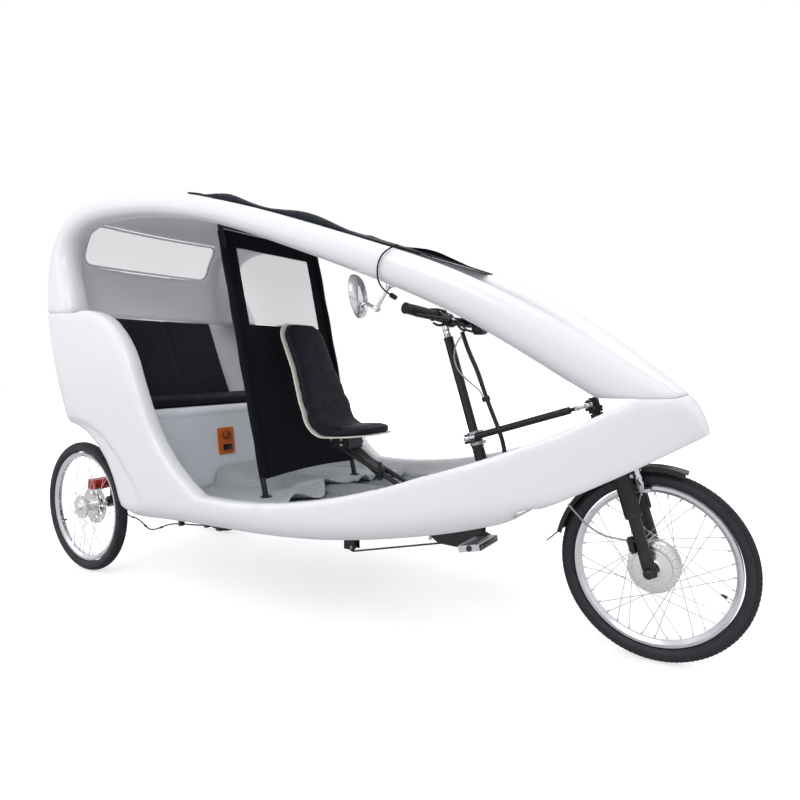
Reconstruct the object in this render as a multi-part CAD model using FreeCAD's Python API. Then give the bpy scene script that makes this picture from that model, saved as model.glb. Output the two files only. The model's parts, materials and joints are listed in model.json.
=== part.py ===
"""Cycle rickshaw: a three-wheeled pedal vehicle with a moulded cabin, bench and driver's seat.

Millimetres.  +X points forward, +Y to the left, +Z up.  While the pieces are being made, x = 0 is
the rear axle, y = 0 the centre plane and z = 0 the ground.  On export everything moves back by
half the wheelbase, which puts the origin at the bottom centre of the whole vehicle.
"""
import FreeCAD, Part
import math
import os

V = FreeCAD.Vector
X_DIR = V(1, 0, 0)
Y_DIR = V(0, 1, 0)
Z_DIR = V(0, 0, 1)

# ---------------------------------------------------------------- driving dimensions
wheelbase = 2480.0
track = 760.0                 # between the middles of the rear tyres
tyre_radius = 300.0
tyre_width = 48.0
tyre_wall = 4.0
rim_radius = 252.0            # outer edge of the rim's flanges
rim_width = 28.0
rim_depth = 19.0
spoke_count = 36
spoke_radius = 1.2
seat_gap = 0.3                # clearance of a piece that rests on another one
spoke_clear = 0.7             # a slanting spoke's square end stays this far off its flange
running_gap = 0.05            # radial clearance of a turning shaft

wall = 60.0                   # double-skinned side wall of the tub
nose_wall = 26.0              # its thinner wall round the front wheel
floor_z = 420.0               # top of the floor
floor_thick = 22.0
bench_top = 768.0
bench_front = 620.0
bench_skin = 12.0

steer_angle = 16.5            # steering axes lean back by this much, degrees
fork_offset = 40.0            # from the steering axis forward to the front axle
column_x = 1806.0             # a point on the column's axis
column_z = 832.0
steer_arm = 62.0              # arms of the steering link
link_radius = 12.0

crank_x = 1792.0
crank_z = 400.0
crank_length = 165.0
crank_rest_angle = -22.0      # right arm at rest, from straight forward
pedal_y = 165.0               # middle of each pedal
pedal_length = 82.0
pedal_thick = 22.0
pedal_pitch = 12.0            # nose up, at rest
chain_y = -48.0

divider_foot_x = 1070.0
divider_top_x = 845.0
divider_half = 275.0
divider_top_z = 1515.0
pole_radius = 11.0

mirror_radius = 72.0

hose_radius = 2.8
loom_radius = 8.0
signal_radius = 2.8
motor_cable_radius = 3.0
elastic_radius = 2.5
cord_arc_share = 0.45         # of the shorter run beside a corner that its arc takes up

NODES = {}


# ---------------------------------------------------------------- general shapes
def line(a, b):
    return Part.LineSegment(a, b).toShape()


def arc(a, via, b):
    return Part.Arc(a, via, b).toShape()


def outline(start, moves, place):
    """Closed wire from ("to", u, v) lines and ("by", via u, via v, to u, to v) arcs."""
    edges = []
    here = start
    for move in moves:
        if move[0] == "to":
            there = move[1:3]
            edges.append(line(place(*here), place(*there)))
        else:
            there = move[3:5]
            edges.append(arc(place(*here), place(*move[1:3]), place(*there)))
        here = there
    if math.dist(here, start) > 1e-6:
        edges.append(line(place(*here), place(*start)))
    return Part.Wire(edges)


def side_prism(start, moves, y_low, y_high):
    """Side outline (x, z) pushed through from y_low to y_high."""
    wire = outline(start, moves, lambda x, z: V(x, y_low, z))
    return Part.Face(wire).extrude(V(0, y_high - y_low, 0))


def box(x, y, z):
    """Box from (low, high) pairs."""
    return Part.makeBox(x[1] - x[0], y[1] - y[0], z[1] - z[0], V(x[0], y[0], z[0]))


def round_rect(centre, u_dir, v_dir, width, height, radius):
    """Rounded rectangle of four lines and four arcs in the plane of u_dir and v_dir."""
    a = width / 2
    b = height / 2
    r = min(radius, a * 0.98, b * 0.98)
    s = r * (1 - math.sqrt(0.5))

    def at(u, v):
        return centre + u_dir * u + v_dir * v

    return Part.Wire([
        line(at(-a + r, -b), at(a - r, -b)),
        arc(at(a - r, -b), at(a - s, -b + s), at(a, -b + r)),
        line(at(a, -b + r), at(a, b - r)),
        arc(at(a, b - r), at(a - s, b - s), at(a - r, b)),
        line(at(a - r, b), at(-a + r, b)),
        arc(at(-a + r, b), at(-a + s, b - s), at(-a, b - r)),
        line(at(-a, b - r), at(-a, -b + r)),
        arc(at(-a, -b + r), at(-a + s, -b + s), at(-a + r, -b)),
    ])


def rod(a, b, radius):
    return Part.makeCylinder(radius, (b - a).Length, a, b - a)


def pipe(a, b, radius, bore):
    """Straight tube with a through bore."""
    reach = (b - a).normalize() * 1.0
    return rod(a, b, radius).cut(rod(a - reach, b + reach, bore))


def bent_path(points, bend):
    """Wire through points, with every corner an arc of radius bend (or one radius a corner)."""
    edges = []
    here = points[0]
    for i in range(1, len(points) - 1):
        radius = bend[i - 1] if isinstance(bend, (list, tuple)) else bend
        back = (points[i - 1] - points[i]).normalize()
        ahead = (points[i + 1] - points[i]).normalize()
        half = back.getAngle(ahead) / 2
        reach = radius / math.tan(half)
        enter = points[i] + back * reach
        leave = points[i] + ahead * reach
        middle = (back + ahead).normalize()
        centre = points[i] + middle * (radius / math.sin(half))
        if (enter - here).Length > 1e-6:
            edges.append(line(here, enter))
        edges.append(arc(enter, centre - middle * radius, leave))
        here = leave
    edges.append(line(here, points[-1]))
    return Part.Wire(edges)


def bent_tube(points, radius, bend, bore=0.0):
    """Round tube swept along straight runs joined by tangent arcs."""
    path = bent_path(points, bend)
    start = (points[1] - points[0]).normalize()

    def sweep(r):
        section = Part.Wire(Part.makeCircle(r, points[0], start))
        return path.makePipeShell([section], True, False)

    solid = sweep(radius)
    return solid.cut(sweep(bore)) if bore else solid


def cord(name, points, radius):
    """Plain cord whose arcs are as large as their runs allow; prints what it measures."""
    radii = []
    for i in range(1, len(points) - 1):
        back = points[i - 1] - points[i]
        ahead = points[i + 1] - points[i]
        half_turn = (math.pi - back.getAngle(ahead)) / 2
        radii.append(cord_arc_share * min(back.Length, ahead.Length) / math.tan(half_turn))
    solid = bent_tube(points, radius, radii)
    length = bent_path(points, radii).Length
    share = solid.Volume / (math.pi * radius ** 2 * length)
    print(name, "length", round(length, 1), "volume over section times length", round(share, 4),
          "radii", [round(r) for r in radii], "in diameters", round(min(radii) / (2 * radius), 1))
    export(name, solid)


def mirrored(shape):
    return shape.mirror(V(0, 0, 0), Y_DIR)


def pair(shape):
    """A right-hand shape together with its left-hand copy."""
    return Part.makeCompound([shape, mirrored(shape)])


def revolved(start, moves, x, z, y=0.0):
    """Ring or disc about a Y axis at (x, y, z); the outline is (distance along Y, radius)."""
    wire = outline(start, moves, lambda along, r: V(x, y + along, z + r))
    return Part.Face(wire).revolve(V(x, y, z), Y_DIR, 360)


def export(node, shape):
    NODES[node] = shape


# ---------------------------------------------------------------- steering geometry
lean = math.radians(steer_angle)
STEER_DOWN = V(math.sin(lean), 0, -math.cos(lean))     # down along both steering axes
STEER_AHEAD = V(math.cos(lean), 0, math.sin(lean))     # square to them, forward
FRONT_AXLE = V(wheelbase, 0, tyre_radius)
FORK_BASE = FRONT_AXLE - STEER_AHEAD * fork_offset     # on the fork's steering axis
COLUMN_BASE = V(column_x, 0, column_z)


def on_fork_axis(up):
    """Point on the fork's steering axis, up along it from beside the axle."""
    return FORK_BASE - STEER_DOWN * up


def on_column(up):
    """Point on the column's axis, up along it from its named point."""
    return COLUMN_BASE - STEER_DOWN * up


# ---------------------------------------------------------------- wheels
def tyre(x, y):
    """Open-bottomed tyre: a horseshoe section whose beads sit in the rim."""
    half = tyre_width / 2
    bead = rim_width / 2 - 3.0
    bead_r = rim_radius - 5.0
    crown = tyre_radius
    belly = rim_radius + 0.52 * (crown - rim_radius)
    inner = half - tyre_wall
    return revolved((-bead, bead_r), [
        ("to", -bead, rim_radius + 1.0),
        ("by", -half, belly, -half * 0.62, crown - 7.0),
        ("by", 0, crown, half * 0.62, crown - 7.0),
        ("by", half, belly, bead, rim_radius + 1.0),
        ("to", bead, bead_r),
        ("to", bead - tyre_wall, bead_r),
        ("to", bead - tyre_wall, rim_radius + 2.0),
        ("by", inner, belly, inner * 0.62, crown - 7.0 - tyre_wall),
        ("by", 0, crown - 7.0, -inner * 0.62, crown - 7.0 - tyre_wall),
        ("by", -inner, belly, -bead + tyre_wall, rim_radius + 2.0),
        ("to", -bead + tyre_wall, bead_r),
    ], x, tyre_radius, y)


def rim(x, y):
    """Box-section rim with two flanges that hold the beads."""
    half = rim_width / 2
    seat = rim_radius - 6.0
    lip = 2.4
    base = rim_radius - rim_depth
    return revolved((-half, rim_radius), [
        ("to", -half + lip, rim_radius),
        ("to", -half + lip, seat),
        ("to", half - lip, seat),
        ("to", half - lip, rim_radius),
        ("to", half, rim_radius),
        ("to", half, seat - 3.0),
        ("to", half * 0.45, base),
        ("to", -half * 0.45, base),
        ("to", -half, seat - 3.0),
    ], x, tyre_radius, y)


def spokes(x, y, hub_r, flange_y):
    """Crossed spokes from the two hub flanges to the rim, six-sided so that they stay light."""
    centre = V(x, y, tyre_radius)
    outer_r = rim_radius - rim_depth - seat_gap
    made = []
    step = 360.0 / spoke_count
    sweep = 5.0 * step
    for i in range(spoke_count):
        side = 1 if i % 2 else -1
        crossing = sweep if (i // 2) % 2 else -sweep
        rim_at = math.radians(i * step)
        hub_at = math.radians(i * step + crossing)
        start = centre + V(hub_r * math.cos(hub_at), side * flange_y, hub_r * math.sin(hub_at))
        end = centre + V(outer_r * math.cos(rim_at), side * 2.0, outer_r * math.sin(rim_at))
        along = (end - start).normalize()
        first = along.cross(Y_DIR).normalize()
        second = along.cross(first)
        corners = []
        for k in range(7):
            turn = math.radians(60 * k)
            corners.append(start + first * (spoke_radius * math.cos(turn))
                           + second * (spoke_radius * math.sin(turn)))
        made.append(Part.Face(Part.makePolygon(corners)).extrude(end - start))
    return Part.makeCompound(made)


hub_motor_radius = 70.0
hub_motor_half = 40.0
front_axle_radius = 8.0


def front_wheel():
    """Front wheel with its hub motor, which spins on a fixed axle."""
    export("front_tyre", tyre(wheelbase, 0))
    flange_y = hub_motor_half - 11.0
    wire_spokes = spokes(wheelbase, 0, hub_motor_radius + 8.0 + spoke_clear, flange_y)
    export("front_rim", Part.makeCompound([rim(wheelbase, 0), wire_spokes]))
    half = hub_motor_half
    hub = revolved((-half, front_axle_radius + running_gap), [
        ("to", -half, 30.0),
        ("to", -half + 6.0, 34.0),
        ("by", -half + 8.0, hub_motor_radius - 8.0, -flange_y - 2.0, hub_motor_radius),
        ("to", -flange_y - 2.0, hub_motor_radius + 8.0),
        ("to", -flange_y + 2.0, hub_motor_radius + 8.0),
        ("to", -flange_y + 2.0, hub_motor_radius),
        ("to", flange_y - 2.0, hub_motor_radius),
        ("to", flange_y - 2.0, hub_motor_radius + 8.0),
        ("to", flange_y + 2.0, hub_motor_radius + 8.0),
        ("to", flange_y + 2.0, hub_motor_radius),
        ("by", half - 8.0, hub_motor_radius - 8.0, half - 6.0, 34.0),
        ("to", half, 30.0),
        ("to", half, front_axle_radius + running_gap),
    ], wheelbase, tyre_radius)
    export("front_hub_motor", hub)


rear_hub_half = 34.0
rear_axle_radius = 10.0
rear_hub_radius = 26.0
rear_flange_radius = 54.0
disc_radius = 90.0
disc_thick = 2.4


def rear_wheel(name, side):
    """Rear wheel: it is bolted to the end of its half shaft and carries the brake disc inboard."""
    y = side * track / 2
    export(name + "_tyre", tyre(0, y))
    flange_y = rear_hub_half - 9.0
    wire_spokes = spokes(0, y, rear_flange_radius + spoke_clear, flange_y)
    export(name + "_rim", Part.makeCompound([rim(0, y), wire_spokes]))
    half = rear_hub_half
    hub = revolved((-half, rear_axle_radius), [
        ("to", -half, rear_hub_radius),
        ("to", -flange_y - 2.0, rear_hub_radius),
        ("to", -flange_y - 2.0, rear_flange_radius),
        ("to", -flange_y + 2.0, rear_flange_radius),
        ("to", -flange_y + 2.0, rear_hub_radius),
        ("to", flange_y - 2.0, rear_hub_radius),
        ("to", flange_y - 2.0, rear_flange_radius),
        ("to", flange_y + 2.0, rear_flange_radius),
        ("to", flange_y + 2.0, rear_hub_radius),
        ("to", half, rear_hub_radius),
        ("to", half, rear_axle_radius),
    ], 0, tyre_radius, y)
    inner = y - side * (half + 4.0)
    disc = revolved((-disc_thick / 2, rear_axle_radius), [
        ("to", -disc_thick / 2, disc_radius),
        ("to", disc_thick / 2, disc_radius),
        ("to", disc_thick / 2, rear_axle_radius),
    ], 0, tyre_radius, inner)
    holes = []
    for ring_r, count, hole_r in ((78.0, 18, 4.0), (60.0, 9, 9.0), (38.0, 6, 8.0)):
        for k in range(count):
            turn = 2 * math.pi * k / count
            at = V(ring_r * math.cos(turn), inner - 5.0, tyre_radius + ring_r * math.sin(turn))
            holes.append(Part.makeCylinder(hole_r, 10.0, at, Y_DIR))
    disc = disc.cut(Part.makeCompound(holes))
    shaft_in = y - side * rear_shaft_length
    shaft_out = y + side * (half + 8.0)
    shaft = rod(V(0, shaft_in, tyre_radius), V(0, shaft_out, tyre_radius), rear_axle_radius)
    cap = rod(V(0, y + side * half, tyre_radius), V(0, shaft_out + side * 4.0, tyre_radius), 18.0)
    spacer = rod(V(0, y - side * half, tyre_radius),
                 V(0, inner + side * disc_thick / 2, tyre_radius), 24.0)
    export(name + "_hub", hub.fuse([shaft, cap, spacer, disc]))


rear_shaft_length = 96.0      # from the middle of the wheel inward

# ---------------------------------------------------------------- tub
# Stations along the hull: x, half width at the bilge, at mid height and at the top,
# bottom z, top z, radius of the bilge
HULL = [
    (-130, 520, 540, 520, 560, 1250, 110),
    (150, 555, 580, 560, 350, 1250, 120),
    (600, 558, 590, 580, 336, 1250, 110),
    (1200, 556, 588, 575, 350, 1250, 110),
    (1750, 500, 535, 525, 388, 1250, 105),
    (2130, 378, 405, 400, 462, 1250, 90),
    (2400, 226, 254, 250, 556, 1150, 50),
    (2560, 118, 140, 135, 630, 1000, 36),
    (2645, 24, 40, 36, 676, 870, 18),
]


def hull_section(x, low, mid, high, z_low, z_high, bilge, inset):
    """U-shaped section: flat bottom, rounded bilges, sides that swell and then lean in."""
    low = low - inset
    mid = mid - inset
    high = high - inset
    z_low = z_low + inset * 0.5
    bilge = max(bilge - inset * 0.6, 6.0)
    s = bilge * (1 - math.sqrt(0.5))
    z_mid = z_low + bilge + 0.5 * (z_high - z_low - bilge)

    def at(y, z):
        return V(x, y, z)

    return Part.Wire([
        line(at(-(low - bilge), z_low), at(low - bilge, z_low)),
        arc(at(low - bilge, z_low), at(low - s, z_low + s), at(low, z_low + bilge)),
        arc(at(low, z_low + bilge), at(mid, z_mid), at(high, z_high)),
        line(at(high, z_high), at(-high, z_high)),
        arc(at(-high, z_high), at(-mid, z_mid), at(-low, z_low + bilge)),
        arc(at(-low, z_low + bilge), at(-low + s, z_low + s), at(-(low - bilge), z_low)),
    ])


def hull(inset, stations):
    return Part.makeLoft([hull_section(*s, inset) for s in stations], True, False)


# Upper edge of the tub, from the seam at the back over the side panel, down to the sill
# and up to the nose
RIM_START = (-400, 1205)
RIM = [
    ("to", 300, 1170),
    ("by", 594, 1095, 708, 925),
    ("to", 776, 760),
    ("by", 852, 630, 1020, 478),
    ("by", 1480, 500, 1900, 606),
    ("by", 2200, 708, 2460, 832),
    ("to", 2800, 832),
    ("to", 2800, 1600),
    ("to", -400, 1600),
]
NOSE_TOP = (2530, 860)
NOSE_BROW = (2606, 789)
NOSE_TIP = (2637, 708)
NOSE_CHIN = (2612, 664)
NOSE_UNDER = (2480, 600)
NOSE_LIP = (2635, 683)
REAR_TOP = (-66, 1260)
REAR_FOOT = (140, 700)


def ends_cut():
    """What lies outside the raked back and the round nose, seen from the side."""
    nose = side_prism((2800, NOSE_TOP[1]), [
        ("to", *NOSE_TOP),
        ("by", *NOSE_BROW, *NOSE_TIP),
        ("by", *NOSE_LIP, *NOSE_CHIN),
        ("to", *NOSE_UNDER),
        ("to", 2800, NOSE_UNDER[1]),
    ], -800, 800)
    rear = side_prism(REAR_TOP, [
        ("to", *REAR_FOOT),
        ("to", -500, REAR_FOOT[1]),
        ("to", -500, REAR_TOP[1]),
    ], -800, 800)
    return nose, rear


def arch(grow):
    """Space of the rear wheels and axle, cut from side to side under the bench."""
    return side_prism((-500, 100), [
        ("to", -500, 706 + grow),
        ("to", 130, 716 + grow),
        ("by", 372 + grow * 0.7, 642 + grow * 0.7, 522 + grow, 430),
        ("by", 556 + grow, 375, 614 + grow, 330),
        ("to", 640 + grow, 100),
    ], -700, 700)


def arch_flare():
    """The longer curve of the arch in the outer skin of one side wall."""
    return side_prism((-500, 100), [
        ("to", -500, 712),
        ("to", 240, 732),
        ("by", 470, 676, 598, 560),
        ("by", 672, 450, 712, 330),
        ("to", 730, 100),
    ], flare_y, 700)


flare_y = 548.0               # inner face of the recess that the flare cuts


def round_prism(x_low, x_high, half_y, radius, z_low, z_high):
    """Upright prism of a rounded rectangle, even about the centre plane."""
    centre = V((x_low + x_high) / 2, 0, z_low)
    wire = round_rect(centre, X_DIR, Y_DIR, x_high - x_low, 2 * half_y, radius)
    return Part.Face(wire).extrude(V(0, 0, z_high - z_low))


PEDAL_GAP = (1480, 2110)
pedal_gap_half = 235.0
wheel_gap_start = 2150.0
wheel_gap_end = 2600.0


def wheel_gap():
    """Opening over the front wheel: the hull's plan, one nose wall further in."""
    rows = [s for s in HULL if s[0] > wheel_gap_start]
    before = [s for s in HULL if s[0] <= wheel_gap_start][-1]
    share = (wheel_gap_start - before[0]) / (rows[0][0] - before[0])
    half = before[1] + share * (rows[0][1] - before[1])
    tip_share = (wheel_gap_end - rows[-2][0]) / (rows[-1][0] - rows[-2][0])
    tip = rows[-2][1] + tip_share * (rows[-1][1] - rows[-2][1])
    side = [(wheel_gap_start, half)] + [(s[0], s[1]) for s in rows[:-1]] + [(wheel_gap_end, tip)]
    right = [V(x, -(y - nose_wall), 300) for x, y in side]
    left = [V(x, y - nose_wall, 300) for x, y in reversed(side)]
    wire = Part.makePolygon(right + left + right[:1])
    return Part.Face(wire).extrude(V(0, 0, 450))


def tub():
    nose_end, rear_end = ends_cut()
    outer = hull(0.0, HULL).cut(arch(0.0)).cut(nose_end).cut(rear_end)
    slope = (REAR_TOP[1] - REAR_FOOT[1]) / (REAR_FOOT[0] - REAR_TOP[0])
    corners = []
    for edge in outer.Edges:
        a = edge.firstVertex().Point
        b = edge.lastVertex().Point
        rise = abs(a.z - b.z)
        if max(a.x, b.x) < 150 and rise > 300 and abs(rise / max(abs(a.x - b.x), 1) - slope) < 1:
            corners.append(edge)
    outer = outer.makeFillet(rear_corner, corners)
    rear_end_in = rear_end.copy()
    rear_end_in.translate(V(wall, 0, 0))
    rear_hollow = hull(wall, HULL[:6]).cut(arch(wall * 0.4)).cut(rear_end_in)
    nose_hollow = hull(nose_wall, HULL[4:8])
    shell = outer.cut(rear_hollow).cut(nose_hollow).cut(wheel_gap())
    shell = shell.cut(side_prism(RIM_START, RIM, -800, 800))
    shell = shell.cut(round_prism(*PEDAL_GAP, pedal_gap_half, 60, 200, 900))
    shell = shell.cut(arch_flare()).cut(mirrored(arch_flare()))
    export("tub_shell", shell)


rear_corner = 150.0


# ---------------------------------------------------------------- roof
# Stations of one side rail from the seam at the back, round the rear corner and down to the
# nose: x, z, direction of the run (degrees above straight forward), inner y, outer y, depth
RAIL = [
    (82, 1200, 104, 410, 535, 225),
    (26, 1380, 100, 400, 505, 145),
    (66, 1525, 54, 385, 492, 106),
    (215, 1597, 8, 380, 490, 88),
    (400, 1606, 0, 379, 491, 86),
    (620, 1588, -7, 378, 492, 84),
    (840, 1552, -12, 374, 490, 84),
    (1050, 1502, -16, 368, 486, 86),
    (1180, 1461, -18, 361, 481, 90),
    (1340, 1406, -19, 353, 474, 95),
    (1500, 1348, -20, 345, 466, 100),
    (1900, 1188, -25, 268, 406, 118),
    (2060, 1102, -29, 206, 352, 126),
    (2200, 1014, -32, 142, 300, 134),
    (2400, 876, -36, 40, 222, 132),
    (2570, 774, -42, -20, 120, 116),
]
PANEL_END = 8                 # the sheet between the rails stops at the eighth station
# The same stations for the sheet: how far it bulges outward in the middle.  The last one lies
# past the sheet's end, to carry its curve on, and is cut off.
CROWN = [26, 26, 24, 22, 21, 20, 16, 12, 12]
panel_thick = 14.0
ceiling_drop = 34.0           # from the top of a rail down to the underside of the sheet


def rail_frame(x, z, angle):
    turn = math.radians(angle)
    return V(x, 0, z), V(-math.sin(turn), 0, math.cos(turn))


def rail(rows):
    """Left rail along some of the stations: a closed, round-cornered beam."""
    sections = []
    for x, z, angle, y_in, y_out, depth in rows:
        centre, out = rail_frame(x, z, angle)
        centre = centre + Y_DIR * ((y_in + y_out) / 2)
        wide = y_out - y_in
        sections.append(round_rect(centre, Y_DIR, out, wide, depth, 0.46 * min(wide, depth)))
    return Part.makeLoft(sections, True, False)


def roof_section(x, z, angle, y_in, y_out, depth, crown):
    """Both rails and the crowned sheet between them as one closed outline."""
    centre, out = rail_frame(x, z, angle)
    high = depth / 2
    r = 0.46 * min(y_out - y_in, depth)
    s = r * (1 - math.sqrt(0.5))
    under = high - ceiling_drop
    rise = crown + ceiling_drop - panel_thick
    return outline((-(y_out - r), high), [
        ("by", 0, high + crown, y_out - r, high),
        ("by", y_out - s, high - s, y_out, high - r),
        ("to", y_out, r - high),
        ("by", y_out - s, s - high, y_out - r, -high),
        ("to", y_in + r, -high),
        ("by", y_in + s, s - high, y_in, r - high),
        ("to", y_in, under),
        ("by", 0, under + rise, -y_in, under),
        ("to", -y_in, r - high),
        ("by", -(y_in + s), s - high, -(y_in + r), -high),
        ("to", -(y_out - r), -high),
        ("by", -(y_out - s), s - high, -y_out, r - high),
        ("to", -y_out, high - r),
        ("by", -(y_out - s), high - s, -(y_out - r), high),
    ], lambda y, up: centre + Y_DIR * y + out * up)


REAR_WINDOW = (-345, 345, 1428, 1606)      # y and z of the opening's edges
rear_window_radius = 45.0
rear_glass = 3.0


def window_prism(grow, x_low, x_high):
    y_low, y_high, z_low, z_high = REAR_WINDOW
    centre = V(x_low, (y_low + y_high) / 2, (z_low + z_high) / 2)
    wire = round_rect(centre, Y_DIR, Z_DIR, y_high - y_low + 2 * grow,
                      z_high - z_low + 2 * grow, rear_window_radius + grow)
    return Part.Face(wire).extrude(V(x_high - x_low, 0, 0))


def roof_back():
    """Back wall and roof, from the seam round the rear corner to the end of the sheet."""
    rows = zip(RAIL[:PANEL_END + 1], CROWN)
    whole = Part.makeLoft([roof_section(*row, crown) for row, crown in rows], True, False)
    x, z, angle = RAIL[PANEL_END - 1][:3]
    centre, out = rail_frame(x, z, angle)
    ahead = Y_DIR.cross(out)
    past = Part.Face(round_rect(centre, Y_DIR, out, 1400, 500, 1)).extrude(ahead * 400)
    return whole.cut(past)


def roof():
    left = rail(RAIL[PANEL_END - 1:])
    left = left.common(box((900, 2900), (0, 900), (600, 1800)))
    shell = roof_back().fuse([left, mirrored(left)])
    seam = box((-600, 700), (-800, 800), (900, RIM_START[1] + seat_gap))
    nose_seam = box((2100, 2900), (-400, 400), (600, 832 + seat_gap))
    nose_end, _ = ends_cut()
    shell = shell.cut(seam).cut(nose_seam).cut(nose_end)
    shell = shell.cut(window_prism(0, -300, 150))
    export("roof_shell", shell)


def rear_window():
    """Clear sheet set into the opening of the back wall."""
    sections = []
    for (x, z, angle, y_in, y_out, depth), crown in zip(RAIL[:4], CROWN):
        centre, out = rail_frame(x, z, angle)
        half = y_in
        base = centre + out * (depth / 2 - 12.0)
        lift = out * rear_glass
        a = base - Y_DIR * half
        b = base + Y_DIR * half
        top = base + out * crown
        sections.append(Part.Wire([
            arc(a, top, b),
            line(b, b + lift),
            arc(b + lift, top + lift, a + lift),
            line(a + lift, a),
        ]))
    sheet = Part.makeLoft(sections, True, False)
    export("rear_window", sheet.common(window_prism(-seat_gap, -300, 150)))


# ---------------------------------------------------------------- bench, floor and divider
bench_back = 181.0
backrest_half = 295.0
backrest_foot = 60.0          # thickness at the bottom
backrest_top = 48.0           # and at the top
backrest_high = 406.0
bench_half = 540.0
bench_rake = 26.0             # the front panel's foot stands this much further forward
cushion_thick = 46.0


def bench():
    """Moulded seat box: front panel and lid, open underneath; cushion and backrest on it."""
    foot = bench_front + bench_rake
    box_shape = side_prism((foot, floor_z + seat_gap), [
        ("to", bench_front, bench_top - 40),
        ("by", bench_front - 8, bench_top - 8, bench_front - 40, bench_top),
        ("to", bench_back, bench_top),
        ("to", bench_back, bench_top - bench_skin),
        ("to", bench_front - 42, bench_top - bench_skin),
        ("by", bench_front - 18, bench_top - 20, bench_front - bench_skin, bench_top - 42),
        ("to", foot - bench_skin, floor_z + seat_gap),
    ], -bench_half, bench_half)
    room = hull(wall + seat_gap, HULL[:6])
    export("bench_base", box_shape.common(room))
    z0 = bench_top + seat_gap
    z1 = z0 + cushion_thick
    z2 = z0 + backrest_high
    low = bench_back
    high = rear_wall_x(z2) + seat_gap
    export("bench_backrest", side_prism((low, z0), [
        ("to", low + backrest_foot, z0),
        ("to", high + backrest_top, z2),
        ("by", high + backrest_top / 2, z2 + 20, high, z2),
    ], -backrest_half, backrest_half))
    behind = low + backrest_foot + seat_gap
    cushion = side_prism((behind, z0), [
        ("to", bench_front - 50, z0),
        ("by", bench_front - 30, (z0 + z1) / 2, bench_front - 50, z1),
        ("to", behind, z1),
    ], -bench_half + 36, bench_half - 36)
    export("bench_cushion", cushion.common(room))


def rear_wall_x(z):
    """Inner face of the tub's raked back at a height."""
    share = (z - REAR_FOOT[1]) / (REAR_TOP[1] - REAR_FOOT[1])
    return REAR_FOOT[0] + share * (REAR_TOP[0] - REAR_FOOT[0]) + wall


PLATE_Y = (-140, -52)
PLATE_Z = (548, 668)


def control_plate():
    """Plate with a round knob and a rocker switch, screwed to the bench's front panel."""
    y_mid = sum(PLATE_Y) / 2
    foot = V(bench_front + bench_rake, 0, floor_z)
    up = (V(bench_front, 0, bench_top - 40) - foot).normalize()
    out = Y_DIR.cross(up).normalize()

    def at(y, height, off):
        reach = (height - floor_z) / up.z
        return foot + up * reach + out * (off + seat_gap) + Y_DIR * y

    middle = at(y_mid, sum(PLATE_Z) / 2, 0)
    wire = round_rect(middle, Y_DIR, up, PLATE_Y[1] - PLATE_Y[0], PLATE_Z[1] - PLATE_Z[0], 6)
    plate = Part.Face(wire).extrude(out * 4)
    knob = Part.makeCylinder(17, 16, at(y_mid, 634, 2), out)
    switch = round_rect(at(y_mid, 580, 2), Y_DIR, up, 44, 22, 3)
    export("control_plate", plate.fuse([knob, Part.Face(switch).extrude(out * 10)]))


# Tunnel in front of the bench: distance ahead of the pan's rear edge, half width, height
TUNNEL = [(0, 165, 72), (130, 158, 46), (345, 130, 4)]


def tunnel_section(x, half, high):
    """Low round-shouldered section that stands on the floor."""
    foot = floor_z - 1
    top = floor_z + high
    shoulder = floor_z + high * 0.8
    return outline((-half, foot), [
        ("by", -half * 0.86, shoulder, -half * 0.6, top),
        ("to", half * 0.6, top),
        ("by", half * 0.86, shoulder, half, foot),
    ], lambda y, z: V(x, y, z))


def floor():
    """Ribbed floor pan with a raised middle and a tunnel in front of the bench."""
    front = PEDAL_GAP[0] - 12
    back = bench_front + bench_rake + 1
    plan = Part.makePolygon([V(back, -485, 0), V(front - 60, -465, 0), V(front, -430, 0),
                             V(front, 430, 0), V(front - 60, 465, 0), V(back, 485, 0),
                             V(back, -485, 0)])
    pan = Part.Face(plan).extrude(V(0, 0, floor_thick))
    pan.translate(V(0, 0, floor_z - floor_thick))
    strip = side_prism((back + 60, floor_z - 1), [
        ("to", back + 90, floor_z + 14),
        ("to", front - 40, floor_z + 14),
        ("to", front - 10, floor_z - 1),
    ], -85, 85)
    tunnel = Part.makeLoft([tunnel_section(back + off, half, high) for off, half, high in TUNNEL],
                           True, True)
    ribs = []
    for k in range(8):
        y = 130 + 38 * k
        for sign in (-1, 1):
            ribs.append(box((back + 100, front - 90), (sign * y - 6, sign * y + 6),
                            (floor_z - 1, floor_z + 3)))
    room = hull(wall + seat_gap, HULL[:6])
    export("floor_pan", pan.common(room).fuse([strip, tunnel] + ribs))


def divider():
    """Two leaning poles with feet, and between them a cloth with a clear window."""
    foot = V(divider_foot_x, divider_half, floor_z + 3 + seat_gap)
    top = V(divider_top_x, divider_half, divider_top_z)
    along = (top - foot).normalize()
    pole = rod(foot + along * 6, top, pole_radius).fuse(Part.makeCylinder(22, 9, foot))
    cross = rod(V(divider_top_x, -divider_half, divider_top_z), top, pole_radius)
    export("divider_frame", pole.fuse([mirrored(pole), cross]))
    out = Y_DIR.cross(along).normalize()
    height = (top - foot).Length
    half = divider_half - pole_radius - seat_gap

    def slab(low, high, y_half, thick):
        a = V(foot.x, 0, foot.z) + along * low - out * (thick / 2)
        across = Y_DIR * y_half
        rise = along * (high - low)
        wire = Part.makePolygon([a - across, a + across, a + across + rise,
                                 a - across + rise, a - across])
        return Part.Face(wire).extrude(out * thick)

    cloth = slab(70, height - pole_radius - seat_gap, half, 5.0)
    low = height * 0.635
    high = height * 0.925
    export("divider_cloth", cloth.cut(slab(low, high, 205, 9.0)))
    export("divider_window", slab(low + seat_gap, high - seat_gap, 205 - seat_gap, 1.5))


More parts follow.
